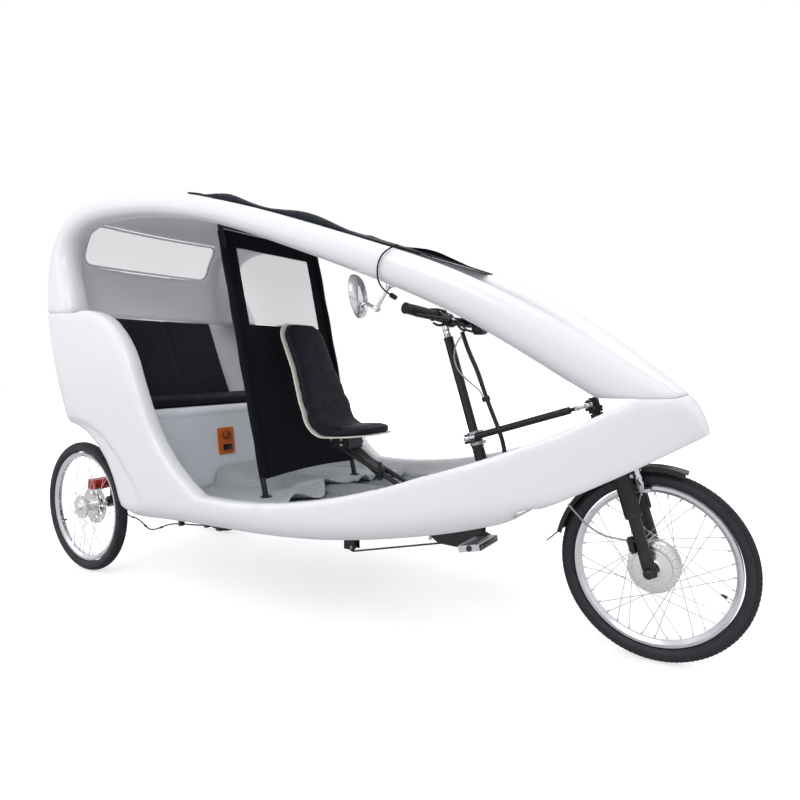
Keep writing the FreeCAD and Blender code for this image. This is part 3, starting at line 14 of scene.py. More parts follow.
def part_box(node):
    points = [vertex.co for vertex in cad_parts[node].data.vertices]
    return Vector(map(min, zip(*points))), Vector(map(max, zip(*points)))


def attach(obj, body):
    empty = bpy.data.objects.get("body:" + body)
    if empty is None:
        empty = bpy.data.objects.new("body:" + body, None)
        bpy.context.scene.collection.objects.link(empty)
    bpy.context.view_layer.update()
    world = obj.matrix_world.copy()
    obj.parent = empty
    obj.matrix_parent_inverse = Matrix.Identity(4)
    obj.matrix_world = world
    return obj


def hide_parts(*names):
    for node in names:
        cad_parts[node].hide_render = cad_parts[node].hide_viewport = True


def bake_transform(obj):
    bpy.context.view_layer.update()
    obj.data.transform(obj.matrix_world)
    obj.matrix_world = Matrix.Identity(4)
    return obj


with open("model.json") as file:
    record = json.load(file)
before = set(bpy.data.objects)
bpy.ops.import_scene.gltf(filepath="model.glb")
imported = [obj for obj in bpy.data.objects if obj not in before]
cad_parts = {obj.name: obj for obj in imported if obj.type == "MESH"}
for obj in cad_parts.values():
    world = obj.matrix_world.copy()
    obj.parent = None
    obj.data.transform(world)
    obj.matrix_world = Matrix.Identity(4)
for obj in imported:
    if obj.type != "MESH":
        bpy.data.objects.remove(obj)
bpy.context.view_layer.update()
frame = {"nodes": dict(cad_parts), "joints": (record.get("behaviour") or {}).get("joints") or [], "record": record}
NODES = frame["nodes"]
JOINTS = {joint["name"]: joint for joint in frame["joints"]}
BODY_OF = {node: body for body, nodes in frame["record"]["behaviour"]["bodies"].items()
           for node in nodes}
X_DIR = Vector((1, 0, 0))
Y_DIR = Vector((0, 1, 0))
Z_DIR = Vector((0, 0, 1))
MM = 0.001
HALF_BASE = JOINTS["front_wheel_spin"]["pos_m"][0]      # half the wheelbase


def at(x, y, z):
    """Point from the CAD source's own numbers: millimetres, x from the rear axle."""
    return Vector((x * MM - HALF_BASE, y * MM, z * MM))


def joint_at(name):
    return Vector(JOINTS[name]["pos_m"])


STEER_UP = Vector(JOINTS["fork_steer"]["axis"]).normalized()
STEER_AHEAD = Y_DIR.cross(STEER_UP).normalized()

# ---------------------------------------------------------------- camera
CAMERA_AT = at(2861.4, -1946.1, 933.3)
HEADING = 0.53557             # radians to the left of +Y
PITCH = 0.03973               # radians down
ROLL = -0.01275
LENS = 27.17                  # for a 36 mm sensor
SHIFT = (-0.05, -0.0125)


def make_camera():
    ahead = Vector((-math.sin(HEADING) * math.cos(PITCH), math.cos(HEADING) * math.cos(PITCH),
                    -math.sin(PITCH)))
    right = Vector((math.cos(HEADING), math.sin(HEADING), 0))
    up = right.cross(ahead)
    rolled_right = right * math.cos(ROLL) + up * math.sin(ROLL)
    rolled_up = up * math.cos(ROLL) - right * math.sin(ROLL)
    data = bpy.data.cameras.new("camera")
    data.lens = LENS
    data.sensor_width = 36
    data.shift_x, data.shift_y = SHIFT
    data.clip_end = 100
    camera = bpy.data.objects.new("camera", data)
    camera.matrix_world = Matrix((
        (rolled_right.x, rolled_up.x, -ahead.x, CAMERA_AT.x),
        (rolled_right.y, rolled_up.y, -ahead.y, CAMERA_AT.y),
        (rolled_right.z, rolled_up.z, -ahead.z, CAMERA_AT.z),
        (0, 0, 0, 1)))
    bpy.context.scene.collection.objects.link(camera)
    bpy.context.scene.camera = camera


make_camera()


# ---------------------------------------------------------------- material tools
class Graph:
    """Short calls for one material's nodes."""

    def __init__(self, name):
        self.material = bpy.data.materials.new(name)
        self.material.use_nodes = True
        self.tree = self.material.node_tree
        self.shader = self.tree.nodes["Principled BSDF"]
        self.coords = self.node("ShaderNodeTexCoord").outputs["Object"]

    def node(self, kind, **inputs):
        made = self.tree.nodes.new(kind)
        for key, value in inputs.items():
            self.put(made.inputs[key.replace("_", " ")], value)
        return made

    def put(self, socket, value):
        if isinstance(value, bpy.types.NodeSocket):
            self.tree.links.new(value, socket)
        else:
            socket.default_value = value

    def set(self, **inputs):
        for key, value in inputs.items():
            self.put(self.shader.inputs[key.replace("_", " ")], value)

    def noise(self, scale, detail=3.0, roughness=0.55, vector=None):
        made = self.node("ShaderNodeTexNoise", Scale=scale, Detail=detail, Roughness=roughness)
        self.put(made.inputs["Vector"], vector or self.coords)
        return made.outputs["Fac"]

    def span(self, value, low, high, from_low=0.3, from_high=0.7):
        made = self.node("ShaderNodeMapRange")
        for index, v in enumerate((value, from_low, from_high, low, high)):
            self.put(made.inputs[index], v)
        return made.outputs[0]

    def mix(self, factor, a, b):
        made = self.tree.nodes.new("ShaderNodeMix")
        made.data_type = "RGBA"
        self.put(made.inputs[0], factor)
        self.put(made.inputs[6], a)
        self.put(made.inputs[7], b)
        return made.outputs[2]

    def math(self, operation, a, b=0.0):
        made = self.tree.nodes.new("ShaderNodeMath")
        made.operation = operation
        self.put(made.inputs[0], a)
        self.put(made.inputs[1], b)
        return made.outputs[0]

    def bump(self, height, distance, strength=1.0, normal=None):
        made = self.node("ShaderNodeBump", Height=height, Distance=distance, Strength=strength)
        if normal is not None:
            self.put(made.inputs["Normal"], normal)
        self.put(self.shader.inputs["Normal"], made.outputs["Normal"])
        return made.outputs["Normal"]


def rgb(red, green, blue):
    return (red, green, blue, 1.0)


def shade(colour, factor):
    return (colour[0] * factor, colour[1] * factor, colour[2] * factor, 1.0)


def plastic(name, colour, rough, grain=450.0, grain_depth=0.00004, cloud=2.5, cloud_depth=0.03,
            coat=0.0, scuff=0.06):
    """Moulded plastic: fine orange peel, faint clouding and slightly uneven gloss."""
    g = Graph(name)
    clouds = g.noise(cloud, 4.0)
    g.set(Base_Color=g.mix(g.span(clouds, 0.0, 1.0), shade(colour, 1 - cloud_depth), colour))
    g.set(Roughness=g.span(g.noise(9.0, 6.0), rough - scuff, rough + scuff))
    g.set(Coat_Weight=coat, Coat_Roughness=0.12)
    g.bump(g.noise(grain, 2.0), grain_depth)
    return g.material


def metal(name, colour, rough, brush=(60.0, 900.0, 60.0), depth=0.00002, grime=0.12):
    """Machined or polished metal with fine brushing and a little grime."""
    g = Graph(name)
    scaled = g.node("ShaderNodeMapping", Vector=g.coords, Scale=brush).outputs[0]
    grain = g.noise(1.0, 3.0, vector=scaled)
    dirt = g.noise(14.0, 5.0)
    g.set(Base_Color=g.mix(g.span(dirt, 0.0, 1.0), shade(colour, 1 - grime), colour))
    g.set(Metallic=1.0)
    g.set(Roughness=g.span(grain, rough * 0.75, rough * 1.3))
    g.bump(grain, depth)
    return g.material


def paint(name, colour, rough):
    """Powder coat: fine texture and slight rubbing."""
    g = Graph(name)
    g.set(Base_Color=g.mix(g.span(g.noise(22.0, 6.0), 0.0, 1.0), colour, shade(colour, 1.25)))
    g.set(Roughness=g.span(g.noise(12.0, 4.0), rough - 0.07, rough + 0.07))
    g.bump(g.noise(1400.0, 1.0), 0.00002)
    return g.material


def rubber(name, colour, rough):
    g = Graph(name)
    dust = g.noise(7.0, 6.0)
    g.set(Base_Color=g.mix(g.span(dust, 0.0, 1.0), colour, shade(colour, 1.7)))
    g.set(Roughness=g.span(g.noise(30.0, 4.0), rough - 0.08, rough + 0.08))
    g.bump(g.noise(700.0, 2.0), 0.00005)
    return g.material


def cloth(name, colour, rough=0.9, sheen=0.25):
    """Woven cloth: two crossed fine waves, broken up by noise."""
    g = Graph(name)
    waves = []
    for direction in ("X", "Z"):
        wave = g.node("ShaderNodeTexWave", Scale=150.0, Distortion=0.6, Vector=g.coords)
        wave.bands_direction = direction
        waves.append(wave.outputs["Fac"])
    woven = g.math("MAXIMUM", *waves)
    g.set(Base_Color=g.mix(g.span(g.noise(5.0, 5.0), 0.0, 1.0), shade(colour, 0.75),
                           shade(colour, 1.25)))
    g.set(Roughness=rough, Specular_IOR_Level=0.22, Sheen_Weight=sheen, Sheen_Roughness=0.4)
    g.bump(woven, 0.00008)
    return g.material


def vinyl(name, colour, rough):
    """Padded artificial leather: pebble grain with soft creases."""
    g = Graph(name)
    cells = g.node("ShaderNodeTexVoronoi", Scale=420.0, Vector=g.coords).outputs["Distance"]
    folds = g.noise(16.0, 4.0)
    g.set(Base_Color=g.mix(g.span(g.noise(6.0, 5.0), 0.0, 1.0), colour, shade(colour, 1.5)))
    g.set(Roughness=g.span(g.noise(25.0, 4.0), rough - 0.07, rough + 0.08))
    g.set(Specular_IOR_Level=0.24)
    grain = g.bump(cells, 0.00009)
    g.bump(folds, 0.0006, 0.6, grain)
    return g.material


def glass_sheet(name, tint, alpha):
    """Clear flexible window sheet: mostly see-through, with a soft milky gloss."""
    g = Graph(name)
    g.set(Base_Color=tint, Roughness=0.06, Alpha=alpha)
    g.bump(g.noise(3.0, 3.0), 0.004, 0.4)
    return g.material


def felt(name, colour):
    """Speckled felt: pale and dark flecks on a matt, slightly hairy ground."""
    g = Graph(name)
    fleck = g.noise(260.0, 2.0)
    cloud = g.noise(9.0, 4.0)
    tone = g.mix(g.span(fleck, 0.0, 1.0, 0.36, 0.64), shade(colour, 0.62), shade(colour, 1.30))
    g.set(Base_Color=g.mix(g.span(cloud, 0.0, 0.45), tone, shade(colour, 0.85)))
    g.set(Roughness=0.95, Sheen_Weight=0.2)
    g.bump(fleck, 0.0008)
    return g.material


WHITE = rgb(0.80, 0.80, 0.815)
M = {
    "shell": plastic("shell_white", WHITE, 0.30, grain_depth=0.00002, cloud_depth=0.012,
                     coat=0.2, scuff=0.02),
    # panel white set lighter than the shell's white: painted light that brightens the shaded cabin's bench panel
    # and window welt
    "panel": plastic("panel_white_painted_light", rgb(0.83, 0.855, 0.90), 0.36, cloud_depth=0.04),
    "floor": plastic("floor_grey", rgb(0.34, 0.35, 0.38), 0.62, grain=160.0, grain_depth=0.0004,
                     cloud=60.0, cloud_depth=0.25),
    "window": glass_sheet("clear_sheet", rgb(0.95, 0.96, 0.975), 0.24),
    "divider_window": glass_sheet("divider_sheet", rgb(0.93, 0.95, 0.965), 0.34),
    "black_cloth": cloth("black_cloth", rgb(0.0040, 0.0044, 0.0085), sheen=0.02),
    "cover_cloth": cloth("cover_cloth", rgb(0.0050, 0.0066, 0.0150), rough=0.62, sheen=0.03),
    "lining": cloth("cover_lining", rgb(0.42, 0.43, 0.45), rough=0.8),
    "vinyl": vinyl("black_vinyl", rgb(0.0042, 0.0047, 0.0090), 0.58),
    "seat_shell": plastic("seat_cream", rgb(0.78, 0.76, 0.68), 0.38),
    "black_paint": paint("black_paint", rgb(0.0050, 0.0052, 0.0065), 0.36),
    "orange": plastic("orange_plate", rgb(0.72, 0.16, 0.01), 0.42, cloud_depth=0.08),
    "tyre": rubber("tyre_black", rgb(0.0085, 0.0095, 0.0125), 0.60),
    "black_rubber": rubber("rubber_black", rgb(0.0060, 0.0060, 0.0070), 0.52),
    "black_plastic": plastic("black_plastic", rgb(0.0065, 0.0065, 0.0080), 0.40, grain=900.0,
                             cloud_depth=0.1),
    "alloy": metal("alloy", rgb(0.72, 0.72, 0.74), 0.30),
    "rim": metal("rim_alloy", rgb(0.74, 0.74, 0.76), 0.22, brush=(300.0, 300.0, 300.0)),
    "hub": metal("hub_alloy", rgb(0.86, 0.855, 0.84), 0.24),
    "steel": metal("steel", rgb(0.55, 0.55, 0.56), 0.35),
    "chrome": metal("chrome", rgb(0.80, 0.80, 0.82), 0.09, depth=0.0, grime=0.05),
    "chain": metal("chain_steel", rgb(0.10, 0.09, 0.085), 0.5),
    "red": paint("red_paint", rgb(0.34, 0.007, 0.009), 0.35),
    "orange_dark": plastic("orange_knob", rgb(0.30, 0.055, 0.006), 0.38),
    "grey_lead": rubber("grey_lead", rgb(0.30, 0.30, 0.32), 0.45),
    "mirror_glass": metal("mirror_face", rgb(0.86, 0.87, 0.88), 0.03, depth=0.0, grime=0.02),
    "resin_brown": plastic("resin_brown", rgb(0.045, 0.026, 0.016), 0.35, cloud_depth=0.15),
    "mat": felt("grey_felt", rgb(0.44, 0.47, 0.50)),
}

# ---------------------------------------------------------------- mesh tools
FINE = math.radians(38)       # edges sharper than this stay sharp
SEAM_REACH = 0.008            # a shell's skin this near to the other shell is its seam
WELD = 0.00002                # vertices nearer than this are one
CALM_ROUNDS = 16


def link(obj):
    bpy.context.scene.collection.objects.link(obj)
    return obj


def dress(obj, material, smooth=True):
    obj.data.materials.clear()
    obj.data.materials.append(M[material])
    if smooth:
        smooth_by_angle(obj.data)


def all_smooth(mesh):
    mesh.polygons.foreach_set("use_smooth", [True] * len(mesh.polygons))


def smooth_by_angle(mesh, angle=FINE):
    all_smooth(mesh)
    work = bmesh.new()
    work.from_mesh(mesh)
    for edge in work.edges:
        if len(edge.link_faces) == 2:
            edge.smooth = edge.calc_face_angle(0.0) < angle
    work.to_mesh(mesh)
    work.free()


def bake_modifiers(obj):
    """Replaces the mesh by what its modifiers make of it."""
    graph = bpy.context.evaluated_depsgraph_get()
    made = bpy.data.meshes.new_from_object(obj.evaluated_get(graph), depsgraph=graph)
    obj.modifiers.clear()
    obj.data = made


def add_remesh(obj, voxel):
    remesh = obj.modifiers.new("remesh", "REMESH")
    remesh.mode = "VOXEL"
    remesh.voxel_size = voxel


def add_relax(obj, iterations, group=""):
    relax = obj.modifiers.new("relax", "SMOOTH")
    relax.factor = 0.5
    relax.iterations = iterations
    relax.vertex_group = group


def copy_node(node, name):
    obj = bpy.data.objects.new(name, NODES[node].data.copy())
    return link(obj)


def stand_for(obj, *nodes, slot=None):
    """The piece rides with the first node's body and takes these nodes' place."""
    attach(obj, BODY_OF[nodes[0]])
    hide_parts(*nodes)
    return obj


def smooth_normals(mesh, rounds):
    """Vertex normals averaged with their neighbours', which evens out the shading."""
    count = len(mesh.vertices)
    ends = np.empty(2 * len(mesh.edges), dtype=np.int64)
    mesh.edges.foreach_get("vertices", ends)
    first, second = ends[0::2], ends[1::2]
    normals = np.empty(3 * count)
    mesh.vertices.foreach_get("normal", normals)
    normals = normals.reshape(-1, 3)
    for _ in range(rounds):
        total = normals.copy()
        for axis in range(3):
            total[:, axis] += np.bincount(first, normals[second, axis], count)
            total[:, axis] += np.bincount(second, normals[first, axis], count)
        normals = total / np.maximum(np.linalg.norm(total, axis=1, keepdims=True), 1e-9)
    return normals


def soften(node, name, material, voxel, rounds, slot, keep, partner, reshape=None, calm=None):
    """Moulded copy of a CAD shell with rounded edges, still tight against its partner."""
    obj = copy_node(node, name)
    weld(obj)
    add_remesh(obj, voxel)
    bake_modifiers(obj)
    if reshape:
        for v in obj.data.vertices:
            v.co = reshape(v.co)
    seam = []
    for v in obj.data.vertices:
        place, normal, _, _ = partner.find_nearest(v.co, SEAM_REACH)
        if place is not None and abs(normal.z) > 0.9:
            seam.append((v.index, v.co.z))
    for _ in range(rounds):
        add_relax(obj, 2)
        bake_modifiers(obj)
        for index, height in seam:
            obj.data.vertices[index].co.z = height
    if calm:
        group = obj.vertex_groups.new(name="calm")
        for v in obj.data.vertices:
            group.add([v.index], calm(v.co), "REPLACE")
        add_relax(obj, CALM_ROUNDS, "calm")
        bake_modifiers(obj)
    obj.data.update()
    normals = smooth_normals(obj.data, 8)
    if len(obj.data.polygons) > keep:
        finder = KDTree(len(obj.data.vertices))
        for v in obj.data.vertices:
            finder.insert(v.co, v.index)
        finder.balance()
        thin = obj.modifiers.new("thin", "DECIMATE")
        thin.ratio = keep / len(obj.data.polygons)
        bake_modifiers(obj)
        normals = [normals[finder.find(v.co)[1]] for v in obj.data.vertices]
    dress(obj, material, smooth=False)
    all_smooth(obj.data)
    obj.data.normals_split_custom_set_from_vertices([tuple(n) for n in normals])
    return stand_for(obj, node, slot=slot)


def weld(obj):
    work = bmesh.new()
    work.from_mesh(obj.data)
    bmesh.ops.remove_doubles(work, verts=work.verts, dist=WELD)
    work.to_mesh(obj.data)
    work.free()


def show_node(node, material, bevel=0.0):
    """The CAD node itself, with a material and, where asked, softened edges."""
    obj = NODES[node]
    dress(obj, material, smooth=False)
    all_smooth(obj.data)
    if not bevel:
        obj.modifiers.new("split", "EDGE_SPLIT").split_angle = FINE
        return
    obj.modifiers.new("weld", "WELD").merge_threshold = WELD
    edge = obj.modifiers.new("bevel", "BEVEL")
    edge.width = bevel
    edge.segments = 2
    edge.limit_method = "ANGLE"
    edge.angle_limit = FINE
    edge.harden_normals = False
    obj.modifiers.new("normals", "WEIGHTED_NORMAL")


# ---------------------------------------------------------------- shape tools
def turns(count, first=0.0):
    """Angles evenly spaced round a circle; first is the share of a step that they start at."""
    return [2 * math.pi * (k + first) / count for k in range(count)]


def spoke(turn):
    """Unit vector in a wheel's plane."""
    return Vector((math.cos(turn), 0, math.sin(turn)))


def circle(centre, side, up, radius, steps):
    return [centre + (side * math.cos(t) + up * math.sin(t)) * radius for t in turns(steps)]


class Shape:
    """Collects many small closed forms in one mesh."""

    def __init__(self):
        self.verts = []
        self.faces = []

    def rings(self, rings, closed=False):
        """Skin through rings of equally many points, with its ends shut unless it's closed."""
        count = len(rings[0])
        base = len(self.verts)
        for ring in rings:
            self.verts += [Vector(v) for v in ring]
        last = len(rings) if closed else len(rings) - 1
        for i in range(last):
            a = base + i * count
            b = base + ((i + 1) % len(rings)) * count
            for k in range(count):
                n = (k + 1) % count
                self.faces.append((a + k, a + n, b + n, b + k))
        if not closed:
            self.faces.append(tuple(base + k for k in reversed(range(count))))
            end = base + (len(rings) - 1) * count
            self.faces.append(tuple(end + k for k in range(count)))

    def lathe(self, origin, axis, profile, steps=64):
        """Turned form; the profile is (distance along the axis, radius)."""
        axis = Vector(axis).normalized()
        side, up = across(axis)
        self.rings([circle(Vector(origin) + axis * along, side, up, max(radius, 1e-5), steps)
                    for along, radius in profile])

    def slab(self, centre, x_dir, y_dir, size, bevel=0.15):
        """Block with chamfered edges; size is along x_dir, y_dir and their normal."""
        x_dir = Vector(x_dir).normalized()
        z_dir = x_dir.cross(Vector(y_dir)).normalized()
        y_dir = z_dir.cross(x_dir)
        a, b, c = (s / 2 for s in size)
        cut = bevel * min(size)
        rings = []
        for z, inset in ((-c, cut), (-c + cut, 0), (c - cut, 0), (c, cut)):
            u, v = a - inset, b - inset
            plan = [(u - cut, -v), (u, -v + cut), (u, v - cut), (u - cut, v),
                    (-u + cut, v), (-u, v - cut), (-u, -v + cut), (-u + cut, -v)]
            rings.append([Vector(centre) + x_dir * p + y_dir * q + z_dir * z for p, q in plan])
        self.rings(rings)

    def bolt(self, place, axis, radius, high):
        """Hexagon head on a washer, with a low domed top."""
        axis = Vector(axis).normalized()
        self.lathe(place, axis, [(0, radius * 1.35), (high * 0.25, radius * 1.35)], 20)
        self.lathe(place, axis, [(high * 0.2, radius), (high * 0.85, radius),
                                 (high, radius * 0.75)], 6)

    def tube(self, points, radius, steps=10):
        """Round tube along points given close together."""
        rings = []
        for i, p in enumerate(points):
            ahead = points[min(i + 1, len(points) - 1)] - points[max(i - 1, 0)]
            if i == 0:
                side, up = across(ahead.normalized())
            axis = ahead.normalized()
            side = (side - axis * side.dot(axis)).normalized()
            up = axis.cross(side)
            r = radius(i / (len(points) - 1)) if callable(radius) else radius
            rings.append(circle(p, side, up, r, steps))
        self.rings(rings)

    def mesh(self, name):
        mesh = bpy.data.meshes.new(name)
        mesh.from_pydata(self.verts, [], self.faces)
        mesh.validate()
        work = bmesh.new()
        work.from_mesh(mesh)
        bmesh.ops.recalc_face_normals(work, faces=work.faces)
        work.to_mesh(mesh)
        work.free()
        return mesh

    def piece(self, name, material, body, replaces=(), smooth=True):
        obj = link(bpy.data.objects.new(name, self.mesh(name)))
        dress(obj, material, smooth)
        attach(obj, body)
        if replaces:
            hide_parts(*replaces)
        return obj


def across(axis):
    """Two directions square to an axis and to each other."""
    helper = Z_DIR if abs(axis.z) < 0.9 else X_DIR
    side = helper.cross(axis).normalized()
    return side, axis.cross(side).normalized()


def curved(points, steps=8):
    """Points along a smooth line through the given ones."""
    pts = [Vector(p) for p in points]
    out = []
    for i in range(len(pts) - 1):
        a = pts[max(i - 1, 0)]
        b, c = pts[i], pts[i + 1]
        d = pts[min(i + 2, len(pts) - 1)]
        for k in range(steps):
            t = k / steps
            out.append(0.5 * ((2 * b) + (c - a) * t + (2 * a - 5 * b + 4 * c - d) * t * t
                              + (3 * b - a - 3 * c + d) * t ** 3))
    out.append(pts[-1])
    return out


def size_of(node):
    low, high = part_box(node)
    return Vector(low), Vector(high)


def middle_of(node):
    low, high = size_of(node)
    return (low + high) / 2


def surface_of(obj):
    """Ray tree of an object's mesh, or of a CAD node's by its name."""
    mesh = (NODES[obj] if isinstance(obj, str) else obj).data
    return BVHTree.FromPolygons([v.co.copy() for v in mesh.vertices],
                                [tuple(p.vertices) for p in mesh.polygons])


# ---------------------------------------------------------------- cords
def spline_cord(name, node, material, slot, diameter, length, stiffness, points, bend=None):
    """Cord on a NURBS line whose control points are the route's own points."""
    data = bpy.data.curves.new(name, "CURVE")
    data.dimensions = "3D"
    line = data.splines.new("NURBS")
    line.points.add(len(points) - 1)
    for point, place in zip(line.points, points):
        point.co = (*at(*place), 1.0)
    line.order_u = 3
    line.use_endpoint_u = True
    line.resolution_u = 12
    cord = link(bpy.data.objects.new(name, data))
    graph = bpy.context.evaluated_depsgraph_get()
    mesh = bpy.data.meshes.new_from_object(cord.evaluated_get(graph), depsgraph=graph)
    path = [v.co.copy() for v in mesh.vertices]
    facts = {"exit": tuple(path[0]), "length": length, "diameter": diameter,
             "far_end": "object", "stiffness": stiffness, "lay": "taut"}
    if bend:
        bpy.data.objects.remove(cord)
        shape = Shape()
        shape.tube(path, diameter / 2, 20)
        cord = link(bpy.data.objects.new(name, shape.mesh(name)))
        dress(cord, material)
        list(bend[:2])
        tuple(at(*bend[2]))
        tuple(at(*bend[3]))
        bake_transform(cord)
        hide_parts(node)
        facts["path"] = [tuple(p) for p in path]
    else:
        data.bevel_depth = diameter / 2
        data.bevel_resolution = 5
        data.use_fill_caps = True
        data.materials.append(M[material])
        stand_for(cord, node, slot=slot)
    return path


spline_cord(
    "control_harness", "control_loom", "black_rubber", "black_cord", 0.016, 0.547, "stiff", [
    (1994.70, 0, 545.16), (1973.13, 0, 592.47), (1966, 0, 651), (1951, 0, 698), (1920, 0, 768),
    (1889, 0, 846), (1864, 0, 917), (1839, 0, 966), (1818, 0, 1015), (1804, 0, 1056)],
    ("chassis", "handlebar_assembly", (1864, 0, 900), (1806, 0, 1050)))
spline_cord("signal_lead", "signal_cable", "grey_lead", "grey_cord", 0.0056, 0.2718, "medium", [
    (1822, -36, 1040), (1801, -37, 1019), (1791, -37, 988), (1789, -36, 954), (1803, -33, 915),
    (1831, -26, 886), (1856, -16, 862), (1876.9, 0, 841.3), (1886.5, 0, 817.1)])
hose_path = spline_cord(
    "brake_line", "brake_hose", "black_rubber", "black_cord", 0.0056, 0.991, "stiff", [
    (30, -300, 394), (84, -300, 394), (146, -312, 344), (206, -326, 292), (276, -342, 272),
    (352, -362, 281), (430, -386, 278), (508, -401, 254), (588, -409, 276), (662, -417, 304),
    (746, -420, 317), (826, -421, 321), (898, -418, 329), (962, -418, 329)])
spline_cord("hub_lead", "motor_cable", "grey_lead", "grey_cord", 0.0060, 0.2343, "medium", [
    (2425.93, -67, 388.02), (2379.93, -67, 388.02), (2334, -72, 395), (2285, -76, 424),
    (2251, -74, 457), (2223, -68, 482)])
spline_cord(
    "cover_shock_cord", "cover_elastic", "black_cloth", "black_cord", 0.005, 0.2971, "limp", [
    (1745, -348, 1317.7), (1772, -348, 1317.7), (1793.1, -402.1, 1307.2),
    (1772.2, -446.3, 1277.9), (1751.5, -447.5, 1232.3), (1738.7, -415.0, 1178.2),
    (1747.3, -366.6, 1160.8)])


def hose_sleeves(path):
    """Short collars round the brake hose, where the frame holds it."""
    radius, width = 0.0046, 0.020
    sleeves = Shape()
    for share in (0.18, 0.34, 0.50, 0.64):
        i = int(share * (len(path) - 1))
        run = (path[i + 1] - path[i]).normalized()
        sleeves.lathe(path[i] - run * width / 2, run, [
            (0, radius * 0.86), (width * 0.15, radius), (width * 0.85, radius),
            (width, radius * 0.86)], 16)
    sleeves.piece("hose_sleeves", "black_plastic", "chassis")


hose_sleeves(hose_path)


# ---------------------------------------------------------------- drive
CHAIN_PITCH = 12.7            # millimetres, as all the drive's places
CRANK_X, CRANK_Z = 1792, 400
CRANK_DEG = -22               # the right crank's lean at rest
CRANK_REACH = 165
RING_TEETH = 52
PULLEYS = [(CRANK_X, CRANK_Z, 105, 1), (1500, 310, 20, -1), (0, 300, 38, 1), (1290, 245, 18, -1),
           (1316, 206, 18, 1)]      # x, z, radius to the chain's middle, which side
CHAIN_Y = -48


def chain_line():
    """Points of the chain's closed middle line, close together, from the large ring on."""
    count = len(PULLEYS)
    leave, enter = [], [None] * count
    for i in range(count):
        x0, z0, r0, side0 = PULLEYS[i]
        x1, z1, r1, side1 = PULLEYS[(i + 1) % count]
        gap = math.hypot(x1 - x0, z1 - z0)
        tilt = (math.atan2(z1 - z0, x1 - x0) - math.asin((side1 * r1 - side0 * r0) / gap)
                - math.pi / 2)
        leave.append((x0 + math.cos(tilt) * side0 * r0, z0 + math.sin(tilt) * side0 * r0))
        enter[(i + 1) % count] = (x1 + math.cos(tilt) * side1 * r1,
                                  z1 + math.sin(tilt) * side1 * r1)
    points = []
    for i in range(count):
        x, z, r, side = PULLEYS[i]
        start = math.atan2(enter[i][1] - z, enter[i][0] - x)
        end = math.atan2(leave[i][1] - z, leave[i][0] - x)
        if side > 0 and end <= start:
            end += 2 * math.pi
        if side < 0 and end >= start:
            end -= 2 * math.pi
        steps = max(4, int(abs(end - start) * r / 1.5))
        for k in range(steps):
            turn = start + (end - start) * k / steps
            points.append((x + r * math.cos(turn), z + r * math.sin(turn)))
        gap = math.dist(leave[i], enter[(i + 1) % count])
        steps = int(gap / 2.0)
        for k in range(steps):
            points.append(tuple(a + (b - a) * k / steps
                                for a, b in zip(leave[i], enter[(i + 1) % count])))
    return points


def chain_pins():
    """Where the chain's pins are, one pitch apart."""
    line = chain_line()
    line.append(line[0])
    lengths = [0.0]
    for a, b in zip(line, line[1:]):
        lengths.append(lengths[-1] + math.dist(a, b))
    count = 2 * round(lengths[-1] / CHAIN_PITCH / 2)
    pins = []
    k = 0
    for i in range(count):
        want = lengths[-1] * i / count
        while lengths[k + 1] < want:
            k += 1
        t = (want - lengths[k]) / (lengths[k + 1] - lengths[k])
        pins.append(at(line[k][0] + (line[k + 1][0] - line[k][0]) * t, CHAIN_Y,
                       line[k][1] + (line[k + 1][1] - line[k][1]) * t))
    return pins


